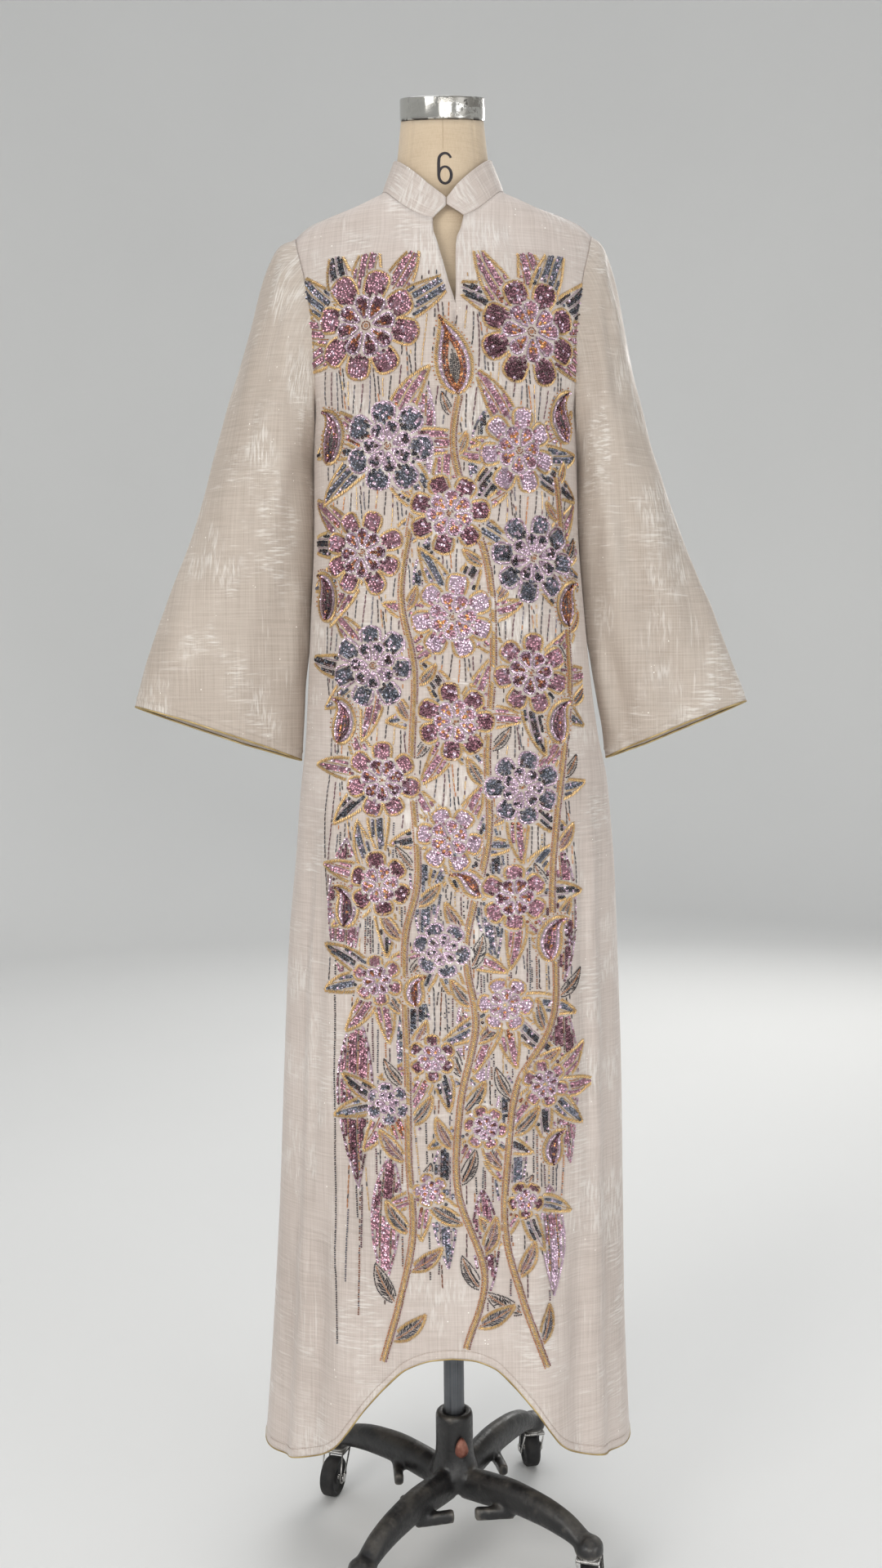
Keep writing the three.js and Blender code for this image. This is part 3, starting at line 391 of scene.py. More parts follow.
def tube(path, radius, sides, closed=False):
    """Points and quads of a round tube along a path."""
    path = np.asarray(path, float)
    if closed:
        ahead, behind = np.roll(path, -1, axis=0), np.roll(path, 1, axis=0)
    else:
        ahead, behind = np.vstack([path[1:], path[-1:]]), np.vstack([path[:1], path[:-1]])
    forward = ahead - behind
    forward /= np.linalg.norm(forward, axis=1, keepdims=True)
    right = np.cross([0, 0, 1.0], forward)
    right /= np.linalg.norm(right, axis=1, keepdims=True)
    up = np.cross(forward, right)
    turn = np.linspace(0, 2 * np.pi, sides, endpoint=False)
    ring = np.cos(turn)[None, :, None] * right[:, None] + np.sin(turn)[None, :, None] * up[:, None]
    points = (path[:, None] + ring * radius).reshape(-1, 3)
    rows = len(path)
    faces = grid_faces(rows, sides, closed=True)
    if closed:
        last = (rows - 1) * sides + np.arange(sides)
        first = np.arange(sides)
        join = np.stack([last, np.roll(last, -1), np.roll(first, -1), first], axis=-1)
        faces = np.vstack([faces, join])
    return points, faces


def lathe(profile, sides, closed=False):
    """Points and quads of a surface of revolution about Z from (radius, z) pairs."""
    profile = np.array(profile, float)
    turn = np.linspace(0, 2 * np.pi, sides, endpoint=False)
    x = profile[:, 0:1] * np.cos(turn)
    y = profile[:, 0:1] * np.sin(turn)
    z = np.repeat(profile[:, 1:2], sides, axis=1)
    points = np.stack([x, y, z], axis=-1).reshape(-1, 3)
    faces = grid_faces(len(profile), sides, closed=True)
    if closed:
        last = (len(profile) - 1) * sides + np.arange(sides)
        first = np.arange(sides)
        faces = np.vstack([faces, np.stack([last, np.roll(last, -1), np.roll(first, -1), first], axis=-1)])
    return points, faces


def rounded(corners, radius, steps=4):
    """A polyline of (radius, z) pairs with each inner corner rounded."""
    corners = [np.array(c, float) for c in corners]
    line = [corners[0]]
    for before, at, after in zip(corners, corners[1:], corners[2:]):
        back, ahead = before - at, after - at
        reach = min(radius, np.linalg.norm(back) * 0.45, np.linalg.norm(ahead) * 0.45)
        start = at + back / np.linalg.norm(back) * reach
        end = at + ahead / np.linalg.norm(ahead) * reach
        for t in np.linspace(0, 1, steps + 1):
            line.append((1 - t) ** 2 * start + 2 * t * (1 - t) * at + t * t * end)
    line.append(corners[-1])
    return line


def joined(parts):
    """One array of points and one of quads from several."""
    points, faces, start = [], [], 0
    for part_points, part_faces in parts:
        points.append(part_points)
        faces.append(part_faces + start)
        start += len(part_points)
    return np.vstack(points), np.vstack(faces)


# ---------------------------------------------------------------- materials
class Finish:
    """A procedural material: a Principled shader and the nodes that feed it."""

    def __init__(self, name, **sockets):
        self.material = bpy.data.materials.new(name)
        self.material.use_nodes = True
        self.tree = self.material.node_tree
        self.shader = self.tree.nodes["Principled BSDF"]
        for socket, value in sockets.items():
            self.shader.inputs[socket.replace("_", " ")].default_value = value

    def node(self, kind, output=0, inputs=(), **settings):
        made = self.tree.nodes.new(kind)
        for name, value in settings.items():
            setattr(made, name, value)
        for key, value in dict(inputs).items():
            if isinstance(value, bpy.types.NodeSocket):
                self.tree.links.new(value, made.inputs[key])
            else:
                made.inputs[key].default_value = value
        return made.outputs[output]

    def place(self, kind="UV"):
        return self.node("ShaderNodeTexCoord", kind)

    def stretched(self, vector, scale):
        return self.node("ShaderNodeMapping", inputs={"Vector": vector, "Scale": scale})

    def noise(self, vector, scale=1.0, detail=2.0, roughness=0.5):
        inputs = {"Vector": vector, "Scale": scale, "Detail": detail, "Roughness": roughness}
        return self.node("ShaderNodeTexNoise", "Fac", inputs)

    def grain(self, vector, scale, detail=2.0, roughness=0.5):
        """Noise with its own scale along each axis."""
        return self.noise(self.stretched(vector, scale), 1.0, detail, roughness)

    def math(self, operation, a, b=0.0):
        return self.node("ShaderNodeMath", inputs={0: a, 1: b}, operation=operation)

    def times(self, a, b):
        return self.math("MULTIPLY", a, b)

    def plus(self, a, b):
        return self.math("ADD", a, b)

    def less(self, a, b):
        return self.math("SUBTRACT", a, b)

    def most(self, a, b):
        return self.math("MAXIMUM", a, b)

    def axis(self, vector, k):
        """One part of a vector: 0 for X, 1 for Y, 2 for Z."""
        return self.node("ShaderNodeSeparateXYZ", k, {0: vector})

    def between(self, value, low, high, start=0.0, end=1.0):
        """The value's run from low to high, stretched over start to end and held past both."""
        inputs = {"Value": value, "From Min": low, "From Max": high, "To Min": start, "To Max": end}
        return self.node("ShaderNodeMapRange", inputs=inputs, interpolation_type="SMOOTHSTEP")

    def ramp(self, factor, *stops):
        """A colour from (position, (r, g, b)) stops."""
        out = self.node("ShaderNodeValToRGB", inputs={"Fac": factor})
        ramp = out.node.color_ramp
        while len(ramp.elements) < len(stops):
            ramp.elements.new(0.5)
        for element, (position, colour) in zip(ramp.elements, stops):
            element.position = position
            element.color = (*colour, 1)
        return out

    def mix(self, factor, a, b):
        inputs = {"Factor": factor, 6: a, 7: b}
        return self.node("ShaderNodeMix", 2, inputs, data_type="RGBA")

    def feed(self, **sockets):
        for socket, source in sockets.items():
            self.tree.links.new(source, self.shader.inputs[socket.replace("_", " ")])

    def bump(self, height, distance, strength=1.0):
        inputs = {"Height": height, "Distance": distance, "Strength": strength}
        self.feed(Normal=self.node("ShaderNodeBump", inputs=inputs))


def linen(name, shade):
    """Slubbed linen with a thin metallic thread: uneven weft and warp threads, silvery scuffed patches."""
    made = Finish(name, Metallic=0.1, Sheen_Weight=0.3, Sheen_Roughness=0.4)
    made.shader.inputs["Sheen Tint"].default_value = (1, 0.94, 0.9, 1)
    place = made.place()
    weft = made.grain(place, (14, 520, 1), 3.0, 0.6)
    warp = made.grain(place, (620, 11, 1), 3.0, 0.6)
    weave = made.grain(place, (900, 900, 1), 1.0)
    slub_weft = made.between(made.grain(place, (22, 260, 1), 2.0, 0.6), 0.56, 0.7)
    slub_warp = made.between(made.grain(place, (300, 16, 1), 2.0, 0.6), 0.57, 0.7)
    patch_weft = made.between(made.grain(place, (7, 13, 1), 2.0), 0.48, 0.66)
    patch_warp = made.between(made.grain(place, (12, 5, 3), 2.0), 0.5, 0.68)
    scuffs = made.most(made.times(slub_weft, patch_weft),
                       made.times(slub_warp, patch_warp))
    threads = made.plus(made.times(weft, 0.5), made.times(warp, 0.5))
    cloud = made.grain(place, (5, 4, 1), 3.0)
    tone = made.plus(made.times(threads, 0.66), made.times(cloud, 0.34))
    tones = (0.43, 0.362, 0.322), (0.57, 0.493, 0.447), (0.69, 0.615, 0.57)
    dark, middle, light = (tuple(np.multiply(shade, colour)) for colour in tones)
    cloth = made.ramp(tone, (0.34, dark), (0.5, middle), (0.66, light))
    # patches where the metal thread has come up: fine broken streaks along the grain
    patch = made.between(made.grain(place, (15, 10, 1), 3.0, 0.55), 0.47, 0.62)
    streak_warp = made.between(made.grain(place, (330, 46, 1), 2.0, 0.6), 0.42, 0.62)
    streak_weft = made.between(made.grain(place, (40, 360, 2), 2.0, 0.6), 0.46, 0.64)
    which = made.between(made.grain(place, (6, 5, 7), 1.0), 0.47, 0.53)
    streaks = made.plus(made.times(streak_warp, which),
                        made.times(streak_weft, made.less(1.0, which)))
    silver = made.times(patch, streaks)
    colour = made.mix(made.times(scuffs, 0.38), cloth, (0.84, 0.79, 0.74, 1))
    colour = made.mix(made.times(silver, 0.55), colour, (0.80, 0.765, 0.72, 1))
    speck = made.node("ShaderNodeTexVoronoi", "Distance", {"Vector": place, "Scale": 170.0})
    lone = made.between(made.noise(place, 60.0, 0.0), 0.7, 0.72)
    glint = made.times(made.between(speck, 0.16, 0.08), lone)
    made.feed(Base_Color=made.mix(glint, colour, (1, 0.97, 0.92, 1)))
    shine = made.most(scuffs, silver)
    rough = made.between(shine, 0.0, 1.0, 0.62, 0.4)
    made.feed(Roughness=made.less(rough, made.times(glint, 0.25)))
    height = made.plus(threads, made.plus(made.times(weave, 0.4),
                                                 made.times(shine, 0.4)))
    made.bump(height, 0.0007, 0.75)
    return made.material


def piping_gold():
    """Tarnished gold piping with the turns of its winding."""
    made = Finish("piping", Metallic=0.75, Roughness=0.38)
    place = made.place("Object")
    grain = made.noise(place, 900.0, 2.0)
    dull = made.noise(place, 45.0, 2.0)
    golds = (0.3, (0.30, 0.21, 0.09)), (0.6, (0.52, 0.39, 0.18)), (0.8, (0.68, 0.55, 0.3))
    made.feed(Base_Color=made.ramp(dull, *golds))
    made.bump(grain, 0.0004, 0.6)
    return made.material


def thread():
    made = Finish("thread", Sheen_Weight=0.2)
    shade = made.noise(made.place("Object"), 700.0, 1.0)
    made.feed(Base_Color=made.ramp(shade, (0.3, (0.36, 0.28, 0.23)), (0.7, (0.6, 0.5, 0.43))))
    made.feed(Roughness=made.between(shade, 0.2, 0.8, 0.5, 0.75))
    return made.material


def beads(name, roughness, metallic, *stops):
    """Sequins or beads whose colour follows each one's own tint."""
    made = Finish(name, Metallic=metallic, Coat_Weight=0.4, Coat_Roughness=0.08)
    tint = made.node("ShaderNodeAttribute", "Fac", attribute_name="tint")
    made.feed(Base_Color=made.ramp(tint, *stops))
    film = made.noise(made.place("Object"), 260.0, 1.0)
    made.feed(Roughness=made.between(film, 0.3, 0.7, roughness * 0.7, roughness * 1.3))
    return made.material


def form_cotton():
    """Tan plain-weave cotton, a little soiled."""
    made = Finish("form_cotton", Sheen_Weight=0.25, Sheen_Roughness=0.5)
    place = made.place("Object")
    across = made.grain(place, (40, 40, 1500), 2.0)
    along = made.grain(place, (1500, 1500, 40), 2.0)
    weave = made.plus(made.times(across, 0.5), made.times(along, 0.5))
    soil = made.noise(place, 9.0, 4.0)
    shade = made.plus(made.times(weave, 0.5), made.times(soil, 0.5))
    tans = (0.35, (0.46, 0.345, 0.23)), (0.52, (0.60, 0.475, 0.335)), (0.7, (0.66, 0.54, 0.40))
    cloth = made.ramp(shade, *tans)
    off_seam = made.math("ABSOLUTE", made.less(made.axis(place, 0), 0.0004))
    above_number = made.between(made.axis(place, 2), 1.681, 1.686)
    seam = made.times(made.between(off_seam, 0.001, 0.0003), made.times(above_number, 0.4))
    made.feed(Base_Color=made.mix(seam, cloth, (0.30, 0.20, 0.12, 1)))
    made.feed(Roughness=made.between(weave, 0.3, 0.7, 0.75, 0.92))
    made.bump(weave, 0.0005, 0.5)
    return made.material


def ink():
    made = Finish("ink", Sheen_Weight=0.05)
    wear = made.noise(made.place("Object"), 700.0, 3.0)
    made.feed(Base_Color=made.ramp(wear, (0.3, (0.012, 0.010, 0.014)), (0.75, (0.05, 0.04, 0.045))))
    made.feed(Roughness=made.between(wear, 0.3, 0.7, 0.6, 0.8))
    return made.material


def chrome():
    """Old chrome plate: dull and cloudy, with scratches and dark chips along its lower edge."""
    made = Finish("chrome", Metallic=1.0)
    place = made.place("Object")
    lean = math.radians(NECK_LEAN)
    foot, normal = (0, 0, CAP["at"] * MM), (0, -math.sin(lean), math.cos(lean))
    off_foot = made.node("ShaderNodeVectorMath", inputs={0: place, 1: foot}, operation="SUBTRACT")
    up = made.node("ShaderNodeVectorMath", "Value", {0: off_foot, 1: normal}, operation="DOT_PRODUCT")
    # the cloudy patches, scratches and rust are faint towards -X and full towards +X, so the +X half is
    # darker and more marked
    marked_towards_plus_x = made.between(made.axis(place, 0), -0.012, 0.012, 0.15, 1.0)
    cloud = made.grain(place, (30, 30, 90), 5.0, 0.65)
    patches = made.times(made.between(cloud, 0.47, 0.6), marked_towards_plus_x)
    scratch = made.between(made.grain(place, (260, 260, 60), 4.0, 0.7), 0.6, 0.66)
    chips = made.times(made.between(made.noise(place, 70.0, 3.0), 0.5, 0.56),
                      made.between(up, 0.004, 0.0005))
    rust = made.times(made.between(made.noise(place, 38.0, 5.0, 0.7), 0.58, 0.64),
                     made.between(up, 0.004, 0.02))
    scuffs = made.times(made.most(made.times(scratch, 0.85), rust), marked_towards_plus_x)
    marks = made.most(scuffs, chips)
    plate = made.mix(patches, (0.56, 0.55, 0.52, 1), (0.30, 0.285, 0.26, 1))
    made.feed(Base_Color=made.mix(marks, plate, (0.035, 0.03, 0.026, 1)))
    made.feed(Metallic=made.between(marks, 0.0, 1.0, 1.0, 0.3))
    made.feed(Roughness=made.plus(made.between(patches, 0.0, 1.0, 0.1, 0.3), made.times(marks, 0.4)))
    made.bump(made.less(patches, marks), 0.0003, 0.4)
    return made.material


def steel(name, light, dark, roughness):
    made = Finish(name, Metallic=0.9)
    place = made.place("Object")
    drawn = made.grain(place, (700, 700, 9), 3.0)
    stain = made.noise(place, 28.0, 4.0)
    shade = made.plus(made.times(drawn, 0.5), made.times(stain, 0.5))
    made.feed(Base_Color=made.ramp(shade, (0.35, dark), (0.6, light)))
    made.feed(Roughness=made.between(shade, 0.3, 0.7, roughness * 0.75, roughness * 1.3))
    made.bump(drawn, 0.0002, 0.3)
    return made.material


def cast_iron():
    """Black paint over a rough casting, rubbed on its edges, and lighter on what faces up: partly settled
    dust, partly painted light from above.
    """
    made = Finish("cast_iron", Coat_Weight=0.2, Coat_Roughness=0.3)
    place = made.place("Object")
    pits = made.noise(place, 230.0, 4.0, 0.6)
    lumps = made.noise(place, 45.0, 2.0)
    geometry = made.tree.nodes.new("ShaderNodeNewGeometry")
    rubbed = made.plus(geometry.outputs["Pointiness"], made.times(made.noise(place, 90.0, 3.0), 0.09))
    worn = made.between(rubbed, 0.56, 0.61)
    # surfaces that face up turn lighter in patches: settled dust, and painted light from above
    facing_up = made.axis(geometry.outputs["Normal"], 2)
    level = made.between(facing_up, 0.15, 0.95)
    dust_and_top_light = made.times(level, made.between(made.noise(place, 26.0, 5.0, 0.65), 0.4, 0.66))
    paint = made.ramp(lumps, (0.3, (0.006, 0.006, 0.007)), (0.7, (0.018, 0.017, 0.017)))
    paint_dust_and_top_light = made.mix(made.times(dust_and_top_light, 0.5), paint, (0.135, 0.12, 0.10, 1))
    made.feed(Base_Color=made.mix(made.times(worn, 0.7), paint_dust_and_top_light, (0.21, 0.19, 0.165, 1)))
    made.feed(Metallic=made.times(worn, 0.4))
    made.feed(Roughness=made.plus(made.between(pits, 0.3, 0.7, 0.3, 0.55), made.times(dust_and_top_light, 0.3)))
    made.bump(made.plus(made.times(pits, 0.6), lumps), 0.0016, 0.6)
    return made.material


def bronze():
    made = Finish("bronze", Metallic=0.55)
    place = made.place("Object")
    stain = made.noise(place, 120.0, 4.0)
    browns = (0.3, (0.12, 0.04, 0.03)), (0.55, (0.26, 0.10, 0.07)), (0.75, (0.4, 0.2, 0.15))
    made.feed(Base_Color=made.ramp(stain, *browns))
    made.feed(Roughness=made.between(stain, 0.3, 0.7, 0.35, 0.6))
    made.bump(stain, 0.0006, 0.5)
    return made.material


def rubber():
    made = Finish("rubber", Specular_IOR_Level=0.35)
    place = made.place("Object")
    dust = made.noise(place, 60.0, 4.0)
    made.feed(Base_Color=made.ramp(dust, (0.4, (0.008, 0.008, 0.009)), (0.75, (0.05, 0.047, 0.045))))
    made.feed(Roughness=made.between(dust, 0.3, 0.7, 0.5, 0.8))
    made.bump(made.noise(place, 500.0, 2.0), 0.0003, 0.4)
    return made.material


LINEN = linen("linen", (1, 1, 1))
SHADED_SLEEVE_LINEN = linen("shaded_sleeve_linen", (0.85, 0.84, 0.795))  # the sleeves' copy of the linen, a little darker and greener: painted shade, as the sleeves are of the same cloth
PIPING = piping_gold()
THREAD = thread()
COTTON = form_cotton()
INK = ink()
CHROME = chrome()
POLE_STEEL = steel("pole_steel", (0.19, 0.20, 0.215), (0.09, 0.095, 0.105), 0.42)
PLATE = steel("plated_steel", (0.55, 0.54, 0.52), (0.25, 0.24, 0.23), 0.3)
IRON = cast_iron()
BRONZE = bronze()
RUBBER = rubber()

# ---------------------------------------------------------------- body panels
ARMPIT_SHARE = (ARMPIT_Z - SIDE_HEM_Z) / (TIP_Z - SIDE_HEM_Z)
STITCH_UP = 9.2  # height of the hem's stitching above its edge
PANEL_RUN, SLEEVE_RUN = 1350, 560  # rough lengths of a panel's middle and of a sleeve, for spacing their rows
HEM_ROWS = np.array([0, 2.5, 5, 7, 8.4, STITCH_UP, 10, 12, 16, 22])  # heights of the rows at a turned edge
HEM_END = 30


def column_share(even, up):
    """How far across the half panel an evenly spaced column lies at a height."""
    low = np.sin(even * np.pi / 2)
    under = NECK_X * np.sin(np.clip(even / NECK_SHARE, 0, 1) * np.pi / 2)
    outside = lerp(NECK_X, TIP_X, (even - NECK_SHARE) / (1 - NECK_SHARE))
    x = np.where(even <= NECK_SHARE, under, outside)
    return lerp(low, x / TIP_X, smooth((up - 0.8) / 0.2))


def top_z(x, panel):
    """The panel's top edge over X: neckline inside the neck points, shoulder seam outside them."""
    reach = np.abs(x)
    rounding = np.sqrt(np.clip(1 - (reach / NECK_X) ** 2, 0, 1))
    if panel < 0:
        neckline = lerp(NECK_Z, NECK_FRONT_Z, rounding**2)
    else:
        neckline = lerp(NECK_Z, NECK_BACK_Z, rounding)
    return np.where(reach >= NECK_X, read(SHOULDER, "x", "z", reach), neckline)


def fold_depth(panel, share, z):
    """How far the long folds push a panel inwards at a place."""
    depth = np.zeros_like(z)
    for on, centre, start, end, deep, width in BODY_FOLDS:
        if on == panel:
            depth += deep * smooth((start - z) / (start - end)) * bell((share - centre) / width)
    return depth


def panel_points(panel, side, share, up):
    """Points of the front (panel -1) or back (panel 1). side is -1 towards -X, share runs out to the edge."""
    share, up = np.broadcast_arrays(np.asarray(share, float), np.asarray(up, float))
    edge_z = lerp(SIDE_HEM_Z, TIP_Z, up)
    edge = np.where(edge_z > ARMPIT_Z, read(ARMHOLE, "z", "x", edge_z), read(BODY, "z", "half", edge_z))
    near_slit = np.clip(1 - share * TIP_X / NECK_X, 0, 1) if panel < 0 else np.zeros_like(share)
    slit = "left" if side < 0 else "right"
    spread_top = near_slit * smooth((up - SLIT_SHARE) / (1 - SLIT_SHARE)) * read(SLIT, "z", slit, NECK_Z)
    z = lerp(read(HEM, "share", "z", share), top_z(side * share * TIP_X + spread_top, panel), up)
    middle = read(BODY, "z", "mid", z)
    spread = near_slit * (read(SLIT, "z", slit, z) - middle)
    x = lerp(middle, read(BODY, "z", "mid", edge_z) + side * edge, share) + spread
    word = "Front" if panel < 0 else "Back"
    square = read(BODY, "z", "square" + word, z)
    reach = np.minimum(1, np.abs(x - middle) / read(BODY, "z", "half", z))
    y = read(BODY, "z", word.lower(), z) * (1 - reach**square) ** (1 / square)
    seam = (share > 0.9999) & ((edge_z <= ARMPIT_Z + 1e-6) | (up > 0.9999))
    seam |= (up > 0.9999) & (np.abs(x) > NECK_X - 1e-3)
    y = np.where(seam, 0, y)
    inward = np.where(seam, 0, fold_depth(panel, side * share, z))
    around = np.maximum(np.hypot(x - middle, y), 1)
    return np.stack([
        x - inward * (x - middle) / around,
        panel * (SEAM_GAP / 2 + y - inward * y / around),
        z,
    ], axis=-1)


def panel_rows(count):
    """Row places up a panel, closer together at the hem's turned edge."""
    return np.concatenate([HEM_ROWS / PANEL_RUN, np.linspace(HEM_END / PANEL_RUN, 1, count)])


def body_panel(panel, rows, columns):
    """Points, quads and flat coordinates of one panel. Its flat coordinates are the arc from the middle line
    and the height, both in millimetres."""
    up = panel_rows(rows)[:, None]
    even = np.linspace(0, 1, columns)[None, :]
    share = column_share(even, up)
    halves, flats = [], []
    for side in (-1, 1):
        half = panel_points(panel, side, share, up)
        steps = np.hypot(np.diff(half[..., 0], axis=1), np.diff(half[..., 1], axis=1))
        arc = np.concatenate([np.zeros((len(up), 1)), np.cumsum(steps, axis=1)], axis=1)
        halves.append(half)
        flats.append(np.stack([half[:, :1, 0] + side * arc, half[..., 2]], axis=-1))
    count = half.shape[0] * half.shape[1]
    index = np.arange(2 * count).reshape(2, *half.shape[:2])
    shut = np.linalg.norm(halves[0][:, 0] - halves[1][:, 0], axis=1) < 1e-3
    index[1, shut, 0] = index[0, shut, 0]
    quads = grid_faces(*half.shape[:2])
    faces = np.vstack([
        index[k].ravel()[quads] if side * panel < 0 else index[k].ravel()[quads[:, ::-1]]
        for k, side in ((0, -1), (1, 1))
    ])
    points = np.concatenate([h.reshape(-1, 3) for h in halves])
    flat = np.concatenate([f.reshape(-1, 2) for f in flats])
    used, faces = np.unique(faces, return_inverse=True)
    faces = faces.reshape(-1, 4)
    points, flat = points[used], flat[used]
    shares = np.concatenate([share.ravel(), share.ravel()])[used]
    return points, faces, flat, shares


def hem_relief(above):
    """Inward depth at a height above a turned and stitched edge: the doubled cloth stands a little proud."""
    proud = -0.55 * smooth((STITCH_UP + 1 - above) / 2)
    return proud + 0.75 * bell((above - STITCH_UP) / 1.1)


def worn_panel(name, panel, rows, columns):
    """One panel with its creases, its turned hem and its seams' ease."""
    points, faces, flat, share = body_panel(panel, rows, columns)
    x, z = points[:, 0], points[:, 2]
    above = z - read(HEM, "share", "z", share)
    inward = creased(x, z, CREASES[name]) + rumpled(flat[:, 0], flat[:, 1], 0.55, 3 + panel)
    inward *= smooth((1 - share) / 0.08) * smooth((1665 - z) / 60)
    inward += hem_relief(above)
    inward += 0.35 * bell((1 - share) / 0.02)
    points = points - vertex_normals(points, faces) * inward[:, None]
    points[:, 1] = panel * np.maximum(panel * points[:, 1], SEAM_GAP / 2)
    return points, faces, flat


front_points, front_faces, front_flat = worn_panel("front", -1, 150, 58)
back_points, back_faces, back_flat = worn_panel("back", 1, 120, 44)


def add_panel(name, points, faces, flat, node):
    piece = new_mesh(name, points, faces, uv=flat)
    thicken(piece, WALL)
    finish_piece(piece, LINEN, "linen", "form", node)


# ---------------------------------------------------------------- sleeves
SEAM_LAP = 0.9  # how far a sleeve's head laps over the armhole's edge


def armhole(panel, side, rise):
    """The armhole edge of a panel, rise running from 0 at the armpit to 1 at the shoulder tip."""
    edge = panel_points(panel, side, np.ones_like(rise), lerp(ARMPIT_SHARE, 1, rise))
    edge[..., 1] = np.where((rise < 1e-6) | (rise > 1 - 1e-6), 0, edge[..., 1])
    return edge


def sleeve_points(side, layer, rise, along):
    """Points of a sleeve. layer is -1 in front, rise runs from the inner edge at 0 to the outer edge at 1."""
    across = -np.cos(np.pi * rise)
    hand = "Right" if side < 0 else "Left"

    def axis(at):
        inner, outer = read(SLEEVE, "along", "in" + hand, at), read(SLEEVE, "along", "out" + hand, at)
        low, high = read(SLEEVE, "along", "inZ", at), read(SLEEVE, "along", "outZ", at)
        x = side * lerp(inner, outer, (1 + across) / 2)
        return np.stack([x, np.zeros_like(x), lerp(low, high, (1 + across) / 2)], axis=-1)

    start = armhole(layer, side, rise) - axis(np.zeros_like(along))
    start += [-side * SEAM_LAP, layer * SEAM_LAP * 0.4, 0]
    belly = np.clip(1 - across**2, 0, 1) ** 0.7
    depth = read(SLEEVE, "along", "depth", along) * belly
    for on, behind, centre, lean, grow, full, deep, width in SLEEVE_FOLDS:
        if on == side and behind == layer:
            grown = smooth((along - grow) / (full - grow))
            depth = depth - deep * grown * bell((across - centre - lean * (1 - along)) / width) * belly
    hanging = np.stack([np.zeros_like(depth), layer * depth, -layer * CUFF_BOW * belly * along**4], axis=-1)
    return axis(along) + lerp(start, hanging, smooth(along / 0.3)[..., None])


def sleeve_rows(count):
    """Row places along a sleeve, closer together at the cuff's turned edge."""
    far = np.linspace(0, 1 - HEM_END / SLEEVE_RUN, count) ** 1.15
    return np.concatenate([far, 1 - HEM_ROWS[::-1] / SLEEVE_RUN])


def worn_sleeve(side, rows, columns):
    """One sleeve with its creases and turned cuff, and how many points lie round it."""
    along = sleeve_rows(rows)[:, None]
    rise = np.linspace(0, 1, columns + 1)[None, :]
    rise, along = np.broadcast_arrays(rise, along)
    front = sleeve_points(side, -1, rise[:, :-1], along[:, :-1])
    back = sleeve_points(side, 1, rise[:, :0:-1], along[:, 1:])
    grid = np.concatenate([front, back], axis=1)
    around = grid.shape[1]
    points = grid.reshape(-1, 3)
    faces = grid_faces(grid.shape[0], around, closed=True, flip=side < 0)
    layer = np.concatenate([-np.ones(columns), np.ones(columns)])
    layer = np.broadcast_to(layer, grid.shape[:2]).ravel()
    steps = np.linalg.norm(np.diff(grid, axis=0), axis=2)
    down = np.concatenate([np.zeros((1, around)), np.cumsum(steps, axis=0)])
    width = np.linalg.norm(np.roll(grid, -1, axis=1) - grid, axis=2)
    round_it = np.cumsum(width, axis=1) - width
    # the grain hangs straight down: lengths round the sleeve are measured from its front's middle column
    middle = slice(columns // 2, columns // 2 + 1)
    grain = round_it - round_it[:, middle] + np.abs(grid[:, middle, 0])
    flat = np.stack([grain + 300 * side, TIP_Z - grid[..., 2]], axis=-1).reshape(-1, 2)
    above = (down[-1] - down).ravel()
    fade = smooth(down.ravel() / 30)
    name = "sleeve_left" if side > 0 else "sleeve_right"
    pressed = creased(points[:, 0], points[:, 2], CREASES[name]) * np.where(layer < 0, 1.4, 0.8)
    inward = (pressed + rumpled(flat[:, 0], flat[:, 1], 0.6, 11 + side)) * fade
    inward += hem_relief(above)
    # the sleeve's head puckers a little where it is eased into the armhole
    ease = np.sin(round_it.ravel() / 7.5) * bell(down.ravel() / 26) * smooth(down.ravel() / 5)
    inward += 0.5 * ease - 0.5 * bell((down.ravel() - 4) / 3)
    points = points - vertex_normals(points, faces) * inward[:, None]
    return points, faces, flat, around


def cuff_path(points, around):
    """The edge of a cuff, carried down by the piping's radius."""
    edge, before = points[-around:], points[-2 * around:-around]
    on = edge - before
    on /= np.linalg.norm(on, axis=1, keepdims=True)
    return edge + on * (PIPING_RADIUS * 0.6)


add_panel("front_cloth", front_points, front_faces, front_flat, "front_panel")
add_panel("back_cloth", back_points, back_faces, back_flat, "back_panel")
cuffs = {}
for side, hand in ((-1, "right"), (1, "left")):
    points, faces, flat, around = worn_sleeve(side, 96, 34)
    sleeve = new_mesh(f"sleeve_cloth_{hand}", points, faces, uv=flat)
    thicken(sleeve, WALL)
    # the sleeves take the darker copy of the linen: painted shade
    finish_piece(sleeve, SHADED_SLEEVE_LINEN, "linen", "form", f"sleeve_{hand}")
    cuffs[hand] = points, around
    cord = new_mesh(f"cuff_cord_{hand}", *tube(cuff_path(points, around), PIPING_RADIUS, 10, closed=True))
    finish_piece(cord, PIPING, "piping", "form", f"cuff_piping_{hand}")


# ---------------------------------------------------------------- hem piping
def hem_edge(panel, up=0.0, out=0.0, count=120):
    """The hem's edge from right to left on the worn panel, some way up and out."""
    share = np.linspace(-1, 1, 2 * count + 1)
    side = np.where(share < 0, -1, 1)
    heights = np.full(share.shape, up)
    right = panel_points(panel, -1, np.abs(share), heights)
    left = panel_points(panel, 1, np.abs(share), heights)
    edge = np.where(side[:, None] < 0, right, left)
    edge[:, 1] += panel * out
    return edge


for panel, word in ((-1, "front"), (1, "back")):
    path = hem_edge(panel, out=-0.5)
    path[:, 2] -= PIPING_RADIUS * 0.7
    path[[0, -1], 1] = panel * (SEAM_GAP + 0.8)
    points, faces = tube(path, PIPING_RADIUS, 10)
    cord = new_mesh(f"hem_cord_{word}", points, faces)
    finish_piece(cord, PIPING, "piping", "form", f"hem_piping_{word}")


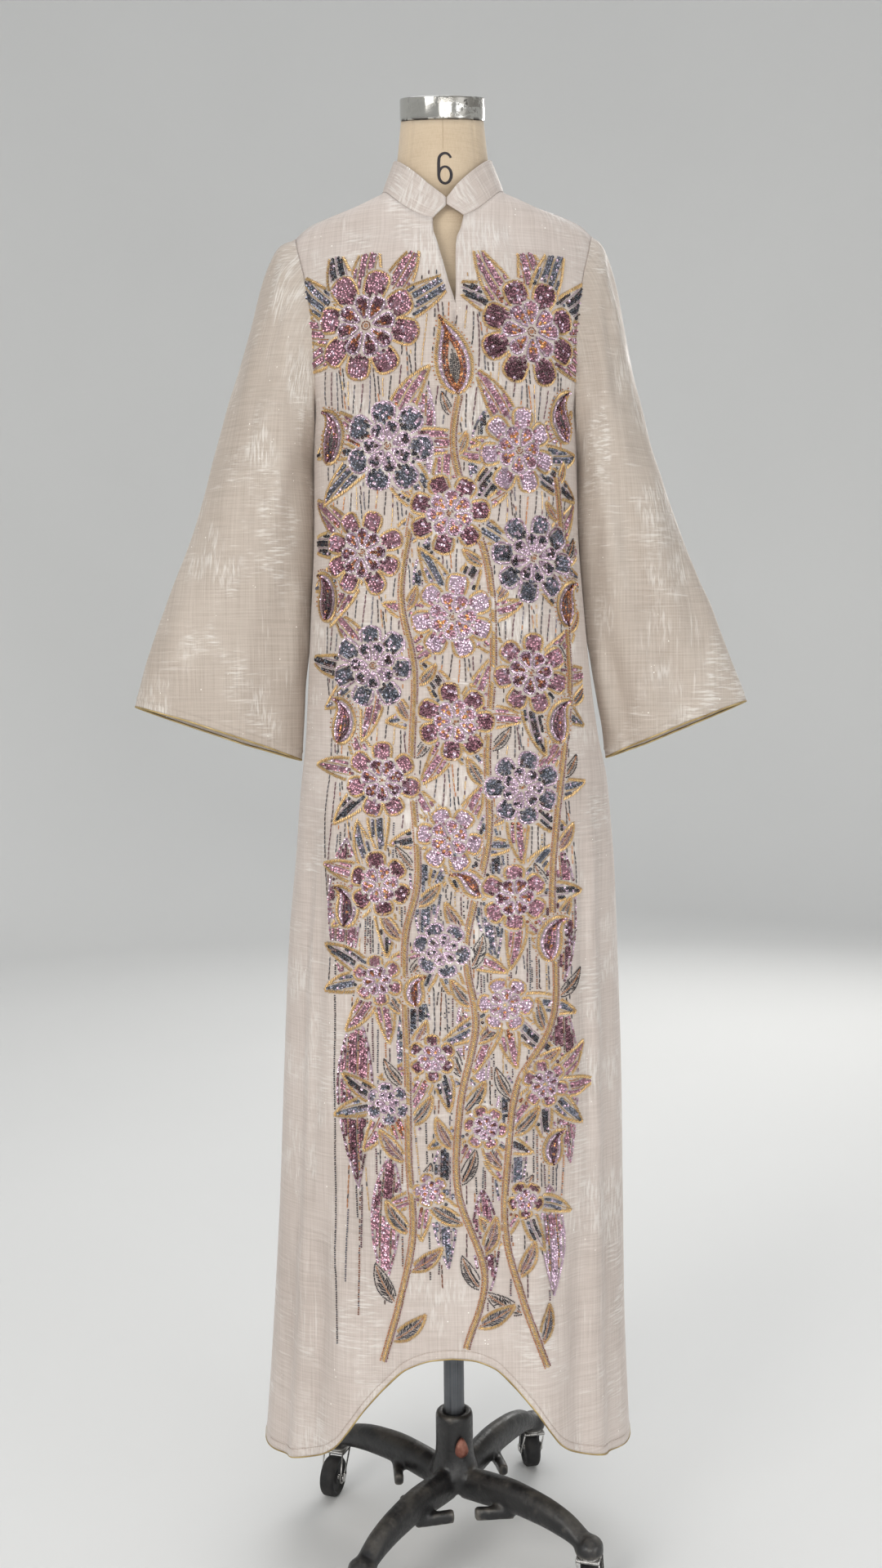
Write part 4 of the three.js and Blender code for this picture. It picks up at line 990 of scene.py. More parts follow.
# ---------------------------------------------------------------- stand collar
def neckline(place):
    """The neckline from one side of the slit (0) round the back (8) to the other side (16)."""
    quarter = np.clip(np.floor(place / 4), 0, 3).astype(int)
    column = np.where(quarter % 2 == 0, place - 4 * quarter, 4 * quarter + 4 - place)
    share = column_share(column / 4 * NECK_SHARE, np.ones_like(place))
    picks = [
        panel_points(panel, side, share, np.ones_like(place))
        for panel, side in ((-1, -1), (1, -1), (1, 1), (-1, 1))
    ]
    return np.choose(quarter[:, None], picks)


def collar_grid(rows, columns):
    """The collar's points, row after row from its foot to its top edge."""
    place = np.linspace(0, 16, columns)
    foot = neckline(place)
    turn = 2 * np.pi * place / 16
    facing = np.cos(turn) > 0
    sideways = np.sin(turn)
    depth = np.where(facing, COLLAR_TOP["front"], COLLAR_TOP["back"])
    top = np.where(facing, COLLAR_TOP["frontZ"], COLLAR_TOP["backZ"])
    crest = np.stack([
        -COLLAR_TOP["x"] * sideways,
        -np.cos(turn) * depth,
        lerp(top, COLLAR_TOP["sideZ"], np.abs(sideways)),
    ], axis=-1)
    up = np.linspace(0, 1, rows)[:, None]
    grid = foot + (crest - foot) * up[..., None]
    grid[..., 2] += 2 * SEAM_GAP
    # the two ends slope in until they meet, and the columns beside them follow
    for end, sign in ((0, -1), (columns - 1, 1)):
        meet = COLLAR_MEET_X + sign * SEAM_GAP
        shift = lerp(foot[end, 0], meet, np.minimum(1, up[:, 0] / COLLAR_JOIN)) - grid[:, end, 0]
        near = np.exp(-((np.arange(columns) - end) / (columns / 34)) ** 2)
        grid[..., 0] += shift[:, None] * near
    return grid


COLLAR_ROWS, COLLAR_COLUMNS = 26, 150
COLLAR_CREASES = [(-44, 1626, -8, 1652, 1, 0.8, 4), (30, 1650, 44, 1622, 1, 0.7, 4)]

collar_faces = grid_faces(COLLAR_ROWS, COLLAR_COLUMNS, flip=True)
collar_points = collar_grid(COLLAR_ROWS, COLLAR_COLUMNS).reshape(-1, 3)
collar_rise = np.repeat(np.linspace(0, 1, COLLAR_ROWS), COLLAR_COLUMNS)
collar_round = np.tile(np.linspace(0, 400, COLLAR_COLUMNS), COLLAR_ROWS)
collar_flat = np.stack([collar_round + 1200, collar_rise * 42], axis=-1)
collar_in = 0.7 * bell((collar_rise - 0.07) / 0.05) + 0.35 * bell((collar_rise - 0.9) / 0.04)
collar_in += creased(collar_points[:, 0], collar_points[:, 2], COLLAR_CREASES)
collar_points = collar_points - vertex_normals(collar_points, collar_faces) * collar_in[:, None]
collar_piece = new_mesh("collar_cloth", collar_points, collar_faces, uv=collar_flat)
thicken(collar_piece, COLLAR_WALL)
finish_piece(collar_piece, LINEN, "linen", "form", "collar")


# ---------------------------------------------------------------- dress form, cap and pole
def squared(curve, power):
    """A sine or cosine pulled towards a square corner."""
    return np.sign(curve) * np.abs(curve) ** power


def form_points(rows, sides):
    """Rings of the form, and the angles of their points."""
    z = np.linspace(FORM_BOTTOM, NECK_TOP, rows)[:, None]
    turn = np.linspace(0, 2 * np.pi, sides, endpoint=False)[None, :]
    power = 2 / read(FORM, "z", "square", z)
    c, s = np.cos(turn), np.sin(turn)
    depth = np.where(s < 0, read(FORM, "z", "front", z), read(FORM, "z", "back", z))
    x = read(FORM, "z", "half", z) * squared(c, power)
    y = depth * squared(s, power)
    lean = np.radians(NECK_LEAN * np.clip((z - NECK_LEAN_FROM) / (NECK_TOP - NECK_LEAN_FROM), 0, None))
    return np.stack([x, y, z + y * np.tan(lean)], axis=-1), turn


FORM_SEAMS = (-91.5, 90, 0, 180, -45, -135, 45, 135)  # degrees round the form


def add_form():
    rows, sides = 120, 128
    grid, turn = form_points(rows, sides)
    groove = np.zeros(turn.shape)
    for seam in FORM_SEAMS:
        off = np.abs((np.degrees(turn) - seam + 180) % 360 - 180)
        groove += 0.8 * bell(off / 1.3)
    centre = grid.mean(axis=1, keepdims=True)
    outward = grid - centre
    outward[..., 2] = 0
    grid = grid - outward / np.linalg.norm(outward, axis=2, keepdims=True) * groove[..., None]
    grid = np.concatenate([grid[:1] * [0.93, 0.93, 1], grid, grid[-1:] * [0.97, 0.97, 1]])
    points = np.vstack([grid.reshape(-1, 3), [[0, 0, FORM_BOTTOM], [0, 0, NECK_TOP]]])
    faces = grid_faces(rows + 2, sides, closed=True)
    piece = new_mesh("form_body", points, faces)
    mesh = bmesh.new()
    mesh.from_mesh(piece.data)
    mesh.verts.ensure_lookup_table()
    low_hub, high_hub = mesh.verts[len(points) - 2], mesh.verts[len(points) - 1]
    top = (rows + 1) * sides
    for k in range(sides):
        after = (k + 1) % sides
        mesh.faces.new((mesh.verts[after], mesh.verts[k], low_hub))
        mesh.faces.new((mesh.verts[top + k], mesh.verts[top + after], high_hub))
    mesh.to_mesh(piece.data)
    mesh.free()
    finish_piece(piece, COTTON, "form_cloth", "form", "dress_form")
    return piece


form_body = add_form()

cap_profile = [
    (0.01, 0), (CAP["radius"], 0), (CAP["radius"], 12), (CAP["radius"], CAP["height"]),
    (CAP["radius"] - 6, CAP["height"]), (20, CAP["height"] - 0.8), (0.01, CAP["height"] - 1),
]
cap_points, cap_faces = lathe(rounded(cap_profile, 2.4, 5), 128)
lean = math.radians(NECK_LEAN)
cap_points = cap_points @ np.array([
    [1, 0, 0], [0, math.cos(lean), math.sin(lean)], [0, -math.sin(lean), math.cos(lean)],
]) + [0, 0, CAP["at"]]
finish_piece(new_mesh("cap_plate", cap_points, cap_faces), CHROME, "cap", "form", "neck_cap")

POLE_BOTTOM, POLE_TOP = 70, 825.7
pole_profile = [(0.01, POLE_BOTTOM), (POLE_RADIUS, POLE_BOTTOM), (POLE_RADIUS, POLE_TOP), (0.01, POLE_TOP)]
pole = new_mesh("pole_tube", *lathe(rounded(pole_profile, 1.0, 2), 48))
finish_piece(pole, POLE_STEEL, "pole", "form", "pole")


# ---------------------------------------------------------------- the size number on the neck
NUMBER_X, NUMBER_Z = 1.6, 1662.5
NUMBER_HALF_HEIGHT = 17.5


def six():
    """The stroke of a plain 6 as (x, z, half thickness) in units of half its height."""
    path = []
    for turn in np.linspace(18, 180, 24):
        angle = math.radians(turn)
        half = lerp(0.075, 0.1, turn / 180)
        path.append((0.05 + 0.40 * math.cos(angle), 0.52 + 0.44 * math.sin(angle), half))
    path += [(-0.365, z, 0.1) for z in (0.3, 0.05, -0.2)]
    for turn in np.linspace(180, 540, 40):
        angle = math.radians(turn)
        half = 0.1 - 0.025 * math.sin(angle) ** 2
        path.append((0.045 + 0.41 * math.cos(angle), -0.44 + 0.52 * math.sin(angle), half))
    return path


def add_number():
    """The number as a strip of ink laid on the neck's front."""
    tree = BVHTree.FromObject(form_body, bpy.context.evaluated_depsgraph_get())
    stroke = six()
    rims = []
    for k, (x, z, half) in enumerate(stroke):
        before, after = stroke[max(0, k - 1)], stroke[min(len(stroke) - 1, k + 1)]
        heading = np.array([after[0] - before[0], after[1] - before[1]])
        heading /= np.linalg.norm(heading)
        for sign in (-1, 1):
            px = NUMBER_X + (x - heading[1] * half * sign) * NUMBER_HALF_HEIGHT
            pz = NUMBER_Z + (z + heading[0] * half * sign) * NUMBER_HALF_HEIGHT
            hit = tree.ray_cast(Vector((px * MM, -0.3, pz * MM)), Vector((0, 1, 0)))[0]
            rims.append((hit.x / MM, hit.y / MM - 0.25, hit.z / MM))
    points = np.array(rims)
    faces = np.array([(2 * k, 2 * k + 1, 2 * k + 3, 2 * k + 2) for k in range(len(stroke) - 1)])
    piece = new_mesh("size_number", points, faces)
    finish_piece(piece, INK, "form_cloth", "form")


add_number()


# ---------------------------------------------------------------- cast base
HUB = {"radius": 23.3, "foot": 27, "top": 172, "bottom": 76, "bore": 13.0}
LEG_ANGLES = (-40, 58, 140, -122)
LEG = table(
    "reach z width height",
    (17, 84, 30, 38), (50, 88, 30, 40), (95, 92, 29, 38), (135, 90, 28, 35), (170, 84, 27, 30),
    (203, 70, 26, 18),
)
SOCKET = {"reach": 203, "radius": 17, "bottom": 60, "shoulder": 70, "top": 82}
BRACE = {"reach": 78, "z": 74, "width": 12, "height": 15, "length": 48}


def turned_round(points, degrees, move=(0, 0, 0)):
    """Points turned about Z and then moved."""
    c, s = math.cos(math.radians(degrees)), math.sin(math.radians(degrees))
    spun = points @ np.array([[c, s, 0], [-s, c, 0], [0, 0, 1]])
    return spun + np.array(move, float)


def capped(grid):
    """A closed body through rings of points, with a fan at each end."""
    rows, sides = grid.shape[:2]
    ends = np.stack([grid[0].mean(axis=0), grid[-1].mean(axis=0)])
    points = np.vstack([grid.reshape(-1, 3), ends])
    k = np.arange(sides)
    after = (k + 1) % sides
    low, high = rows * sides, rows * sides + 1
    top = (rows - 1) * sides
    caps = [
        np.stack([after, k, np.full(sides, low), np.full(sides, low)], axis=-1),
        np.stack([top + k, top + after, np.full(sides, high), np.full(sides, high)], axis=-1),
    ]
    return points, np.vstack([grid_faces(rows, sides, closed=True), *caps])


def leg(angle):
    """One arched leg with a flat rib along its top."""
    sides, rows = 28, 40
    reach = np.linspace(LEG["reach"][0], LEG["reach"][-1], rows)
    turn = np.linspace(0, 2 * np.pi, sides, endpoint=False)
    power = 2 / 2.6
    c, s = squared(np.cos(turn), power), squared(np.sin(turn), power)
    width = read(LEG, "reach", "width", reach)[:, None] / 2
    height = read(LEG, "reach", "height", reach)[:, None] / 2
    z = read(LEG, "reach", "z", reach)[:, None] + s * height
    narrow = 1 - 0.18 * smooth((s - 0.2) / 0.8)
    grid = np.stack([np.broadcast_to(reach[:, None], z.shape), c * width * narrow, z], axis=-1)
    return turned_points(capped(grid), angle)


def turned_points(part, degrees, move=(0, 0, 0)):
    """A part's points turned about Z and moved, with its faces."""
    return turned_round(part[0], degrees, move), part[1]


def leg_end(degrees):
    """The middle of a leg's socket at the floor."""
    reach = math.radians(degrees)
    return SOCKET["reach"] * math.cos(reach), SOCKET["reach"] * math.sin(reach), 0


def block(size, centre, spin):
    """A rounded block, spun about Z round its own middle."""
    sides = 24
    turn = np.linspace(0, 2 * np.pi, sides, endpoint=False)
    c = squared(np.cos(turn), 0.45) * size[0] / 2
    s = squared(np.sin(turn), 0.45) * size[2] / 2
    run = np.array([-0.5, -0.46, 0.46, 0.5]) * size[1]
    swell = np.array([0.86, 1, 1, 0.86])
    x = swell[:, None] * c
    z = swell[:, None] * s
    y = np.broadcast_to(run[:, None], x.shape)
    part = capped(np.stack([x, y, z], axis=-1)[:, ::-1])
    return turned_points(part, spin, centre)


def cast_parts():
    """The hub, and each leg with its socket and its two brace stubs."""
    hub_profile = [
        (HUB["bore"], HUB["bottom"]), (HUB["foot"], HUB["bottom"]), (HUB["foot"] + 3, HUB["bottom"] + 20),
        (HUB["radius"] + 1, HUB["bottom"] + 38), (HUB["radius"], HUB["bottom"] + 50),
        (HUB["radius"], HUB["top"]), (HUB["bore"], HUB["top"]), (HUB["bore"], HUB["bottom"]),
    ]
    parts = [lathe(rounded(hub_profile, 4, 3)[:-1], 48, closed=True)]
    for angle in LEG_ANGLES:
        parts.append(leg(angle))
        dome = SOCKET["top"] - SOCKET["shoulder"]
        profile = [(0.01, SOCKET["bottom"]), (SOCKET["radius"], SOCKET["bottom"])]
        profile += [
            (SOCKET["radius"] * math.cos(t), SOCKET["shoulder"] + dome * math.sin(t))
            for t in np.linspace(0, math.pi / 2 - 0.02, 8)
        ]
        socket = lathe(profile, 36)
        parts.append(turned_points(socket, angle, leg_end(angle)))
        for side in (-1, 1):
            centre = np.array([[BRACE["reach"], side * BRACE["length"] * 0.4, BRACE["z"]]])
            stub = block((BRACE["width"], BRACE["length"], BRACE["height"]), (0, 0, 0), side * 45)
            parts.append(turned_points((stub[0] + centre, stub[1]), angle))
    return parts


def add_base():
    """The casting: its parts fused into one skin and softened."""
    points, faces = joined(cast_parts())
    piece = new_mesh("cast_base", points, faces)
    mesh = bmesh.new()
    mesh.from_mesh(piece.data)
    bmesh.ops.remove_doubles(mesh, verts=mesh.verts, dist=1e-6)
    open_rims = [edge for edge in mesh.edges if edge.is_boundary]
    bmesh.ops.holes_fill(mesh, edges=open_rims, sides=0)
    bmesh.ops.recalc_face_normals(mesh, faces=mesh.faces)
    mesh.to_mesh(piece.data)
    mesh.free()
    remesh = piece.modifiers.new("fuse", "REMESH")
    remesh.mode = "VOXEL"
    remesh.voxel_size = 2.6 * MM
    soften = piece.modifiers.new("soften", "SMOOTH")
    soften.iterations = 4
    soften.factor = 0.6
    apply_modifiers(piece)
    piece.data.polygons.foreach_set("use_smooth", np.full(len(piece.data.polygons), True))
    finish_piece(piece, IRON, "casting", "base", "stand_base")


add_base()

# ---------------------------------------------------------------- clamp screw
SCREW = {"angle": -72, "z": 132, "radius": 4, "headGap": 1.2, "head": 8.5, "point": 17, "thick": 7}
PEAR_RINGS = (
    # size and depth of each ring of the head, as shares
    (0.02, 0), (0.5, 0.02), (0.82, 0.1), (0.96, 0.24), (1, 0.5), (0.96, 0.78), (0.8, 0.95), (0.45, 1.03),
    (0.02, 1.05),
)


def pear_outline(count):
    """The head's outline in its own plane: a round bottom and a narrower top."""
    turn = np.linspace(0, 2 * np.pi, count, endpoint=False)
    lift = np.clip(np.sin(turn), 0, 1)
    across = np.cos(turn) * SCREW["head"] * (1 - 0.35 * lift**1.5)
    up = np.where(np.sin(turn) > 0, SCREW["point"], SCREW["head"]) * np.sin(turn)
    return across, up


def add_clamp():
    across, up = pear_outline(48)
    rings = []
    for scale, depth in PEAR_RINGS:
        x = np.full(across.shape, HUB["radius"] + SCREW["headGap"] + depth * SCREW["thick"])
        rings.append(np.stack([x, across * scale, up * scale + 1.5 * (1 - scale)], axis=-1))
    head = capped(np.array(rings))
    sides = 24
    turn = np.linspace(0, 2 * np.pi, sides, endpoint=False)
    y, z = np.cos(turn) * SCREW["radius"], np.sin(turn) * SCREW["radius"]
    stem = capped(np.array([
        np.stack([np.full(sides, x), y, z], axis=-1)
        for x in (POLE_RADIUS + SEAM_GAP, HUB["radius"] + SCREW["headGap"] + 1.5)
    ]))
    points, faces = joined([head, stem])
    points = turned_round(points, SCREW["angle"], (0, 0, SCREW["z"]))
    finish_piece(new_mesh("clamp_knob", points, faces), BRONZE, "screw", "clamp", "clamp_screw")


add_clamp()

# ---------------------------------------------------------------- casters
CASTER = {"trail": 16, "radius": 25, "width": 20, "bore": 3.4, "axle": 3, "gap": 2, "cheek": 2.2}
CROWN_LOW, CROWN_TOP, CROWN_BACK, CROWN_FRONT = 54, 57, -12, 14
STEM_RADIUS, STEM_TOP = 4.6, 74
CASTER_TRAILS = (75, 100, -110, -105)


def plate(outline, thick, middle):
    """A flat plate over X and Z with softly rounded rims."""
    outline = np.array(outline, float)
    centre = outline.mean(axis=0)
    rings = []
    for shrink, depth in ((0.6, 0), (0, 0.18), (0, 0.82), (0.6, 1)):
        inward = centre - outline
        inward /= np.linalg.norm(inward, axis=1, keepdims=True)
        ring = outline + inward * shrink
        y = np.full(len(ring), middle + (depth - 0.5) * thick)
        rings.append(np.stack([ring[:, 0], y, ring[:, 1]], axis=-1))
    return capped(np.array(rings))


def cheek_outline():
    """A fork's cheek: straight from the crown, and round under the axle."""
    lower = [
        (CASTER["trail"] + 8 * math.cos(t), CASTER["radius"] + 8 * math.sin(t))
        for t in np.linspace(0, -math.pi, 14)
    ]
    return [(CROWN_FRONT, CROWN_TOP)] + lower + [(CROWN_BACK, CROWN_TOP)]


def on_axle(points, side=1, off=0):
    """Points of a body of revolution carried from Z to the axle's line."""
    return points[:, [0, 2, 1]] * [1, side, 1] + [CASTER["trail"], side * off, CASTER["radius"]]


def add_caster(k, leg_angle, trail_angle):
    """A caster under a leg's socket: fork with crown, stem, cheeks, bolts and axle, and its wheel."""
    inner = CASTER["width"] / 2 + CASTER["gap"]
    cheek_middle = inner + CASTER["cheek"] / 2
    crown = [
        (CROWN_BACK, CROWN_LOW), (CROWN_FRONT, CROWN_LOW), (CROWN_FRONT, CROWN_TOP), (CROWN_BACK, CROWN_TOP),
    ]
    stem_profile = [
        (0.01, CROWN_LOW), (12, CROWN_TOP), (12, CROWN_TOP + 1.6), (STEM_RADIUS, CROWN_TOP + 2.6),
        (STEM_RADIUS, STEM_TOP), (0.01, STEM_TOP),
    ]
    stem = lathe(rounded(stem_profile, 1, 3), 32)
    bolt, bolt_faces = lathe(rounded([(0.01, 0), (5.2, 0), (5.2, 2.2), (0.01, 2.6)], 0.8, 3), 20)
    parts = [plate(crown, 2 * inner + 2 * CASTER["cheek"], 0), stem]
    for side in (-1, 1):
        parts.append(plate(cheek_outline(), CASTER["cheek"], side * cheek_middle))
        parts.append((on_axle(bolt, side, inner + CASTER["cheek"]), bolt_faces))
    end = inner + 2
    axle, axle_faces = lathe([(0.01, -end), (CASTER["axle"], -end), (CASTER["axle"], end), (0.01, end)], 20)
    parts.append((on_axle(axle), axle_faces))
    half, rim = CASTER["width"] / 2, CASTER["radius"]
    tread = rounded([
        (CASTER["bore"], -half + 2), (9, -half + 2), (10, -half + 3.5), (rim - 7, -half + 3.5),
        (rim - 6, -half + 1), (rim - 3, -half), (rim, -half + 3), (rim, half - 3), (rim - 3, half),
        (rim - 6, half - 1), (rim - 7, half - 3.5), (10, half - 3.5), (9, half - 2),
        (CASTER["bore"], half - 2), (CASTER["bore"], -half + 2),
    ], 1.2, 3)[:-1]
    wheel, wheel_faces = lathe(tread, 72, closed=True)
    place = leg_end(leg_angle)
    fork_points, fork_faces = joined(parts)
    fork = new_mesh(f"fork_{k}", turned_round(fork_points, trail_angle, place), fork_faces)
    finish_piece(fork, PLATE, "fork", f"caster_{k}", f"caster_fork_{k}")
    rolling = new_mesh(f"wheel_{k}", turned_round(on_axle(wheel), trail_angle, place), wheel_faces)
    finish_piece(rolling, RUBBER, "tread", f"wheel_{k}", f"caster_wheel_{k}")


for number, (leg_angle, trail_angle) in enumerate(zip(LEG_ANGLES, CASTER_TRAILS), 1):
    add_caster(number, leg_angle, trail_angle)


# ---------------------------------------------------------------- beadwork
# An ordinary spray of flowers, paisleys and leafy vines, drawn on the front panel laid flat: across is the
# arc from the middle line and up is the height, both in millimetres.
COLOURS = {
    "plum": (0.03, (0.115, 0.04, 0.058)),
    "mauve": (0.17, (0.34, 0.16, 0.205)),
    "lilac": (0.31, (0.58, 0.42, 0.53)),
    "slate": (0.45, (0.095, 0.105, 0.135)),
    "gunmetal": (0.59, (0.022, 0.024, 0.033)),
    "rust": (0.73, (0.25, 0.08, 0.034)),
    "copper": (0.86, (0.58, 0.22, 0.07)),
    "gold": (0.97, (0.74, 0.52, 0.25)),
}
PITCH = {"sequin": 3.3, "bead": 2.0, "bugle": 5.6, "bar": 2.05}
CLEAR = {"sequin": 3, "bead": 2, "bugle": 3, "bar": 3}  # millimetres of cloth each one takes up round itself
SHAPES = {
    "leaf": lambda s: np.sin(np.pi * s**0.85) ** 0.85,
    "petal": lambda s: s**0.6 * np.sqrt(np.clip(1 - s**7, 0, 1)),
    "drop": lambda s: np.sqrt(np.clip(1 - (1 - s / 0.36) ** 2, 0, 1)) * (s < 0.36)
    + np.cos(np.clip((s - 0.36) / 0.64, 0, 1) * np.pi / 2) ** 1.15 * (s >= 0.36),
}
# Which millimetres of the flat cloth are taken, from its lower right corner, with a rim that nothing enters.
TAKEN_ROWS, TAKEN_COLUMNS, TAKEN_LOW, TAKEN_RIGHT, TAKEN_RIM = 1500, 460, 200, -230, 4
taken = np.zeros((TAKEN_ROWS, TAKEN_COLUMNS), bool)
laid = {kind: [] for kind in PITCH}
motif = []


def lay(kind, path, colour, size=1.0, slant=0.0, other=None, share=0.0, pitch=1.0):
    """Sets sequins or beads one after another along a path, a share of them in another colour."""
    path = np.asarray(path, float)
    if len(path) < 2:
        return
    run = np.concatenate([[0], np.cumsum(np.hypot(*np.diff(path, axis=0).T))])
    step = PITCH[kind] * size * pitch
    at = np.arange(step / 2, run[-1] + step * 0.1, step)
    spots, before, after = (
        np.column_stack([np.interp(at + shift, run, path[:, k]) for k in (0, 1)]) for shift in (0, -0.6, 0.6)
    )
    heading = np.arctan2(*(after - before).T[::-1])
    count = len(at)
    tint = np.full(count, COLOURS[colour][0])
    if other:
        tint = np.where(random.random(count) < share, COLOURS[other][0], tint)
    items = np.column_stack([
        spots + random.normal(0, 0.14, (count, 2)),
        heading + math.radians(slant) + random.normal(0, 0.05, count),
        size * random.normal(1, 0.03, count),
        tint + random.uniform(-0.03, 0.03, count),
    ])
    motif.append((kind, items))


def claim():
    """Keeps what the motif has laid on free cloth, and takes that cloth up."""
    kept = []
    for kind, items in motif:
        column = (items[:, 0] - TAKEN_RIGHT).astype(int)
        row = (items[:, 1] - TAKEN_LOW).astype(int)
        column = np.clip(column, TAKEN_RIM, TAKEN_COLUMNS - 1 - TAKEN_RIM)
        row = np.clip(row, TAKEN_RIM, TAKEN_ROWS - 1 - TAKEN_RIM)
        free = ~taken[row, column]
        laid[kind].append(items[free])
        kept.append((column[free], row[free], CLEAR[kind]))
    for column, row, reach in kept:
        for a in range(-reach, reach + 1):
            for b in range(-reach, reach + 1):
                if a * a + b * b <= reach * reach + 1:
                    taken[row + a, column + b] = True
    motif.clear()


class Blade:
    """A bent leaf, petal or drop. Heading and bend are in degrees, and hook puts the bend nearer its tip."""

    def __init__(self, root, heading, length, width, bend=0.0, shape="leaf", hook=1.0):
        steps = 60
        s = np.linspace(0, 1, steps)
        turn = np.radians(heading + bend * s**hook)
        on = np.column_stack([np.cos(turn), np.sin(turn)])
        self.length = length
        run = np.vstack([[0, 0], np.cumsum(on[:-1], axis=0)])
        self.spine = np.array(root, float) + run * length / (steps - 1)
        self.left = np.column_stack([-on[:, 1], on[:, 0]])
        self.half = width / 2 * SHAPES[shape](s)

    def edge(self, side, inset=0.0):
        return self.spine + self.left * side * np.maximum(self.half - inset, 0)[:, None]

    def outline(self, inset=0.0):
        right, left = self.edge(-1, inset), self.edge(1, inset)
        return np.vstack([right, left[-2::-1]])

    def rows(self, spacing, margin):
        """Lines that follow the spine, side by side."""
        most = int((self.half.max() - margin) // spacing)
        for k in range(-most, most + 1):
            inside = self.half - margin > abs(k) * spacing
            yield (self.spine + self.left * k * spacing)[inside]

    def ribs(self, spacing, slope, margin):
        """Lines that branch from the spine at a slope, like the veins of a leaf."""
        steps = len(self.spine)
        for side in (-1, 1):
            for start in np.arange(spacing, self.length, spacing):
                out = np.arange(1.2, self.half.max() + 1, 0.8)
                at = (start + out / math.tan(math.radians(slope))) / self.length * (steps - 1)
                fits = at < steps - 1
                at, out = at[fits], out[fits]
                low = at.astype(int)
                inside = self.half[low] - margin > out
                yield (self.spine[low] + self.left[low] * side * out[:, None])[inside]


def flower(centre, radius, petals, turn, colours, trim):
    """Two rings of petals in sequins round a beaded heart."""
    outer, inner, core = colours
    heart = radius * 0.17
    for ring, reach in enumerate((0.56, 1.0)):
        for k in range(petals):
            heading = turn + (k + ring / 2) * 360 / petals + random.uniform(-3, 3)
            spin = math.radians(heading)
            root = np.array(centre) + heart * 0.8 * np.array([math.cos(spin), math.sin(spin)])
            length = (radius * reach - heart) * random.uniform(0.94, 1.06)
            width = 1.55 * math.pi * radius * reach / petals
            petal = Blade(root, heading, length, width, random.uniform(-8, 8), "petal")
            if ring and trim == "gold":
                lay("bar", petal.outline(0.8), "gold", 0.78, 58)
            else:
                lay("sequin", petal.outline(0.8), "lilac", 0.66)
            for row in petal.rows(3.5, 2.6):
                part = int(len(row) * random.uniform(0.35, 0.55))
                lay("sequin", row[:part], inner if ring else core, 0.9, other=colours[1 - ring], share=0.3)
                lay("sequin", row[part:], outer if ring else inner, 0.9, other="lilac", share=0.1)
        claim()
    for step, colour in enumerate(("gold", "copper", "rust", "copper")):
        reach = heart * (1 - step * 0.28)
        if reach > 1:
            angle = np.linspace(0, 2 * np.pi, 40)
            ringed = np.array(centre) + reach * np.column_stack([np.cos(angle), np.sin(angle)])
            lay("bead" if step else "bar", ringed, colour, 0.95 if step else 0.8, 0 if step else 60)
    claim()


def frond(root, heading, length, width, bend, colours):
    """A long leaf filled with rows of sequins and beads that follow its bend."""
    made = Blade(root, heading, length, width, bend)
    first, second, line = colours
    lay("bar", made.outline(), "gold", 0.9, 58)
    for k, row in enumerate(made.rows(3.3, 2.6)):
        if k % 3 == 1:
            lay("bugle", row, line, 0.9)
            continue
        part = int(len(row) * random.uniform(0.3, 0.6))
        lay("sequin", row[:part], first, 0.86, other=second, share=0.25)
        lay("sequin", row[part:], second, 0.86, other="lilac", share=0.08)
    claim()


def leaf(root, heading, length, width, bend, trim, body, vein="copper"):
    """A leaf with a corded edge, slanting rows of bugles and a beaded vein."""
    made = Blade(root, heading, length, width, bend)
    kind = "bar" if trim == "gold" else "bead"
    lay(kind, made.outline(), trim, 0.85 if kind == "bar" else 1.0, 58 if kind == "bar" else 0)
    lay("bead", made.spine[3:-4], vein, 0.95)
    for rib in made.ribs(2.3, 40, 2.0):
        lay("bugle" if len(rib) > 4 else "bead", rib, body, 0.8, other="gunmetal", share=0.3)
    claim()


def paisley(root, heading, length, width, bend, body, core):
    """A hooked drop: corded edge, a ring of sequins, a beaded core and dots round the outside."""
    made = Blade(root, heading, length, width, bend, "drop", 2.2)
    lay("bar", made.outline(), "gold", 0.95, 58)
    lay("sequin", made.outline(4.6), "lilac", 0.72)
    lay("sequin", made.outline(8.6), body, 0.8, other="plum", share=0.3)
    lay("sequin", made.outline(12.4), body, 0.8, other="copper", share=0.2)
    small = Blade(made.spine[7], heading, length * 0.46, width * 0.36, bend * 0.25, "drop", 2.2)
    for row in small.rows(2.1, 0.4):
        lay("bead", row, core)
    claim()
    lay("bead", made.outline(-4.2), "copper", 1.05, pitch=2.4)
    claim()


def smooth_path(corners):
    """A smooth path through its corners."""
    corners = np.array(corners, float)
    tangents = np.gradient(corners, axis=0)
    at = np.linspace(0, len(corners) - 1 - 1e-6, 40 * len(corners))
    low = at.astype(int)
    t = (at - low)[:, None]
    return (
        (2 * t**3 - 3 * t**2 + 1) * corners[low] + (t**3 - 2 * t**2 + t) * tangents[low]
        + (3 * t**2 - 2 * t**3) * corners[low + 1] + (t**3 - t**2) * tangents[low + 1]
    )


def beside(path, off):
    """A line that keeps a distance from a path, to its left where off is positive."""
    on = np.gradient(path, axis=0)
    on /= np.linalg.norm(on, axis=1, keepdims=True)
    return path + np.column_stack([-on[:, 1], on[:, 0]]) * off


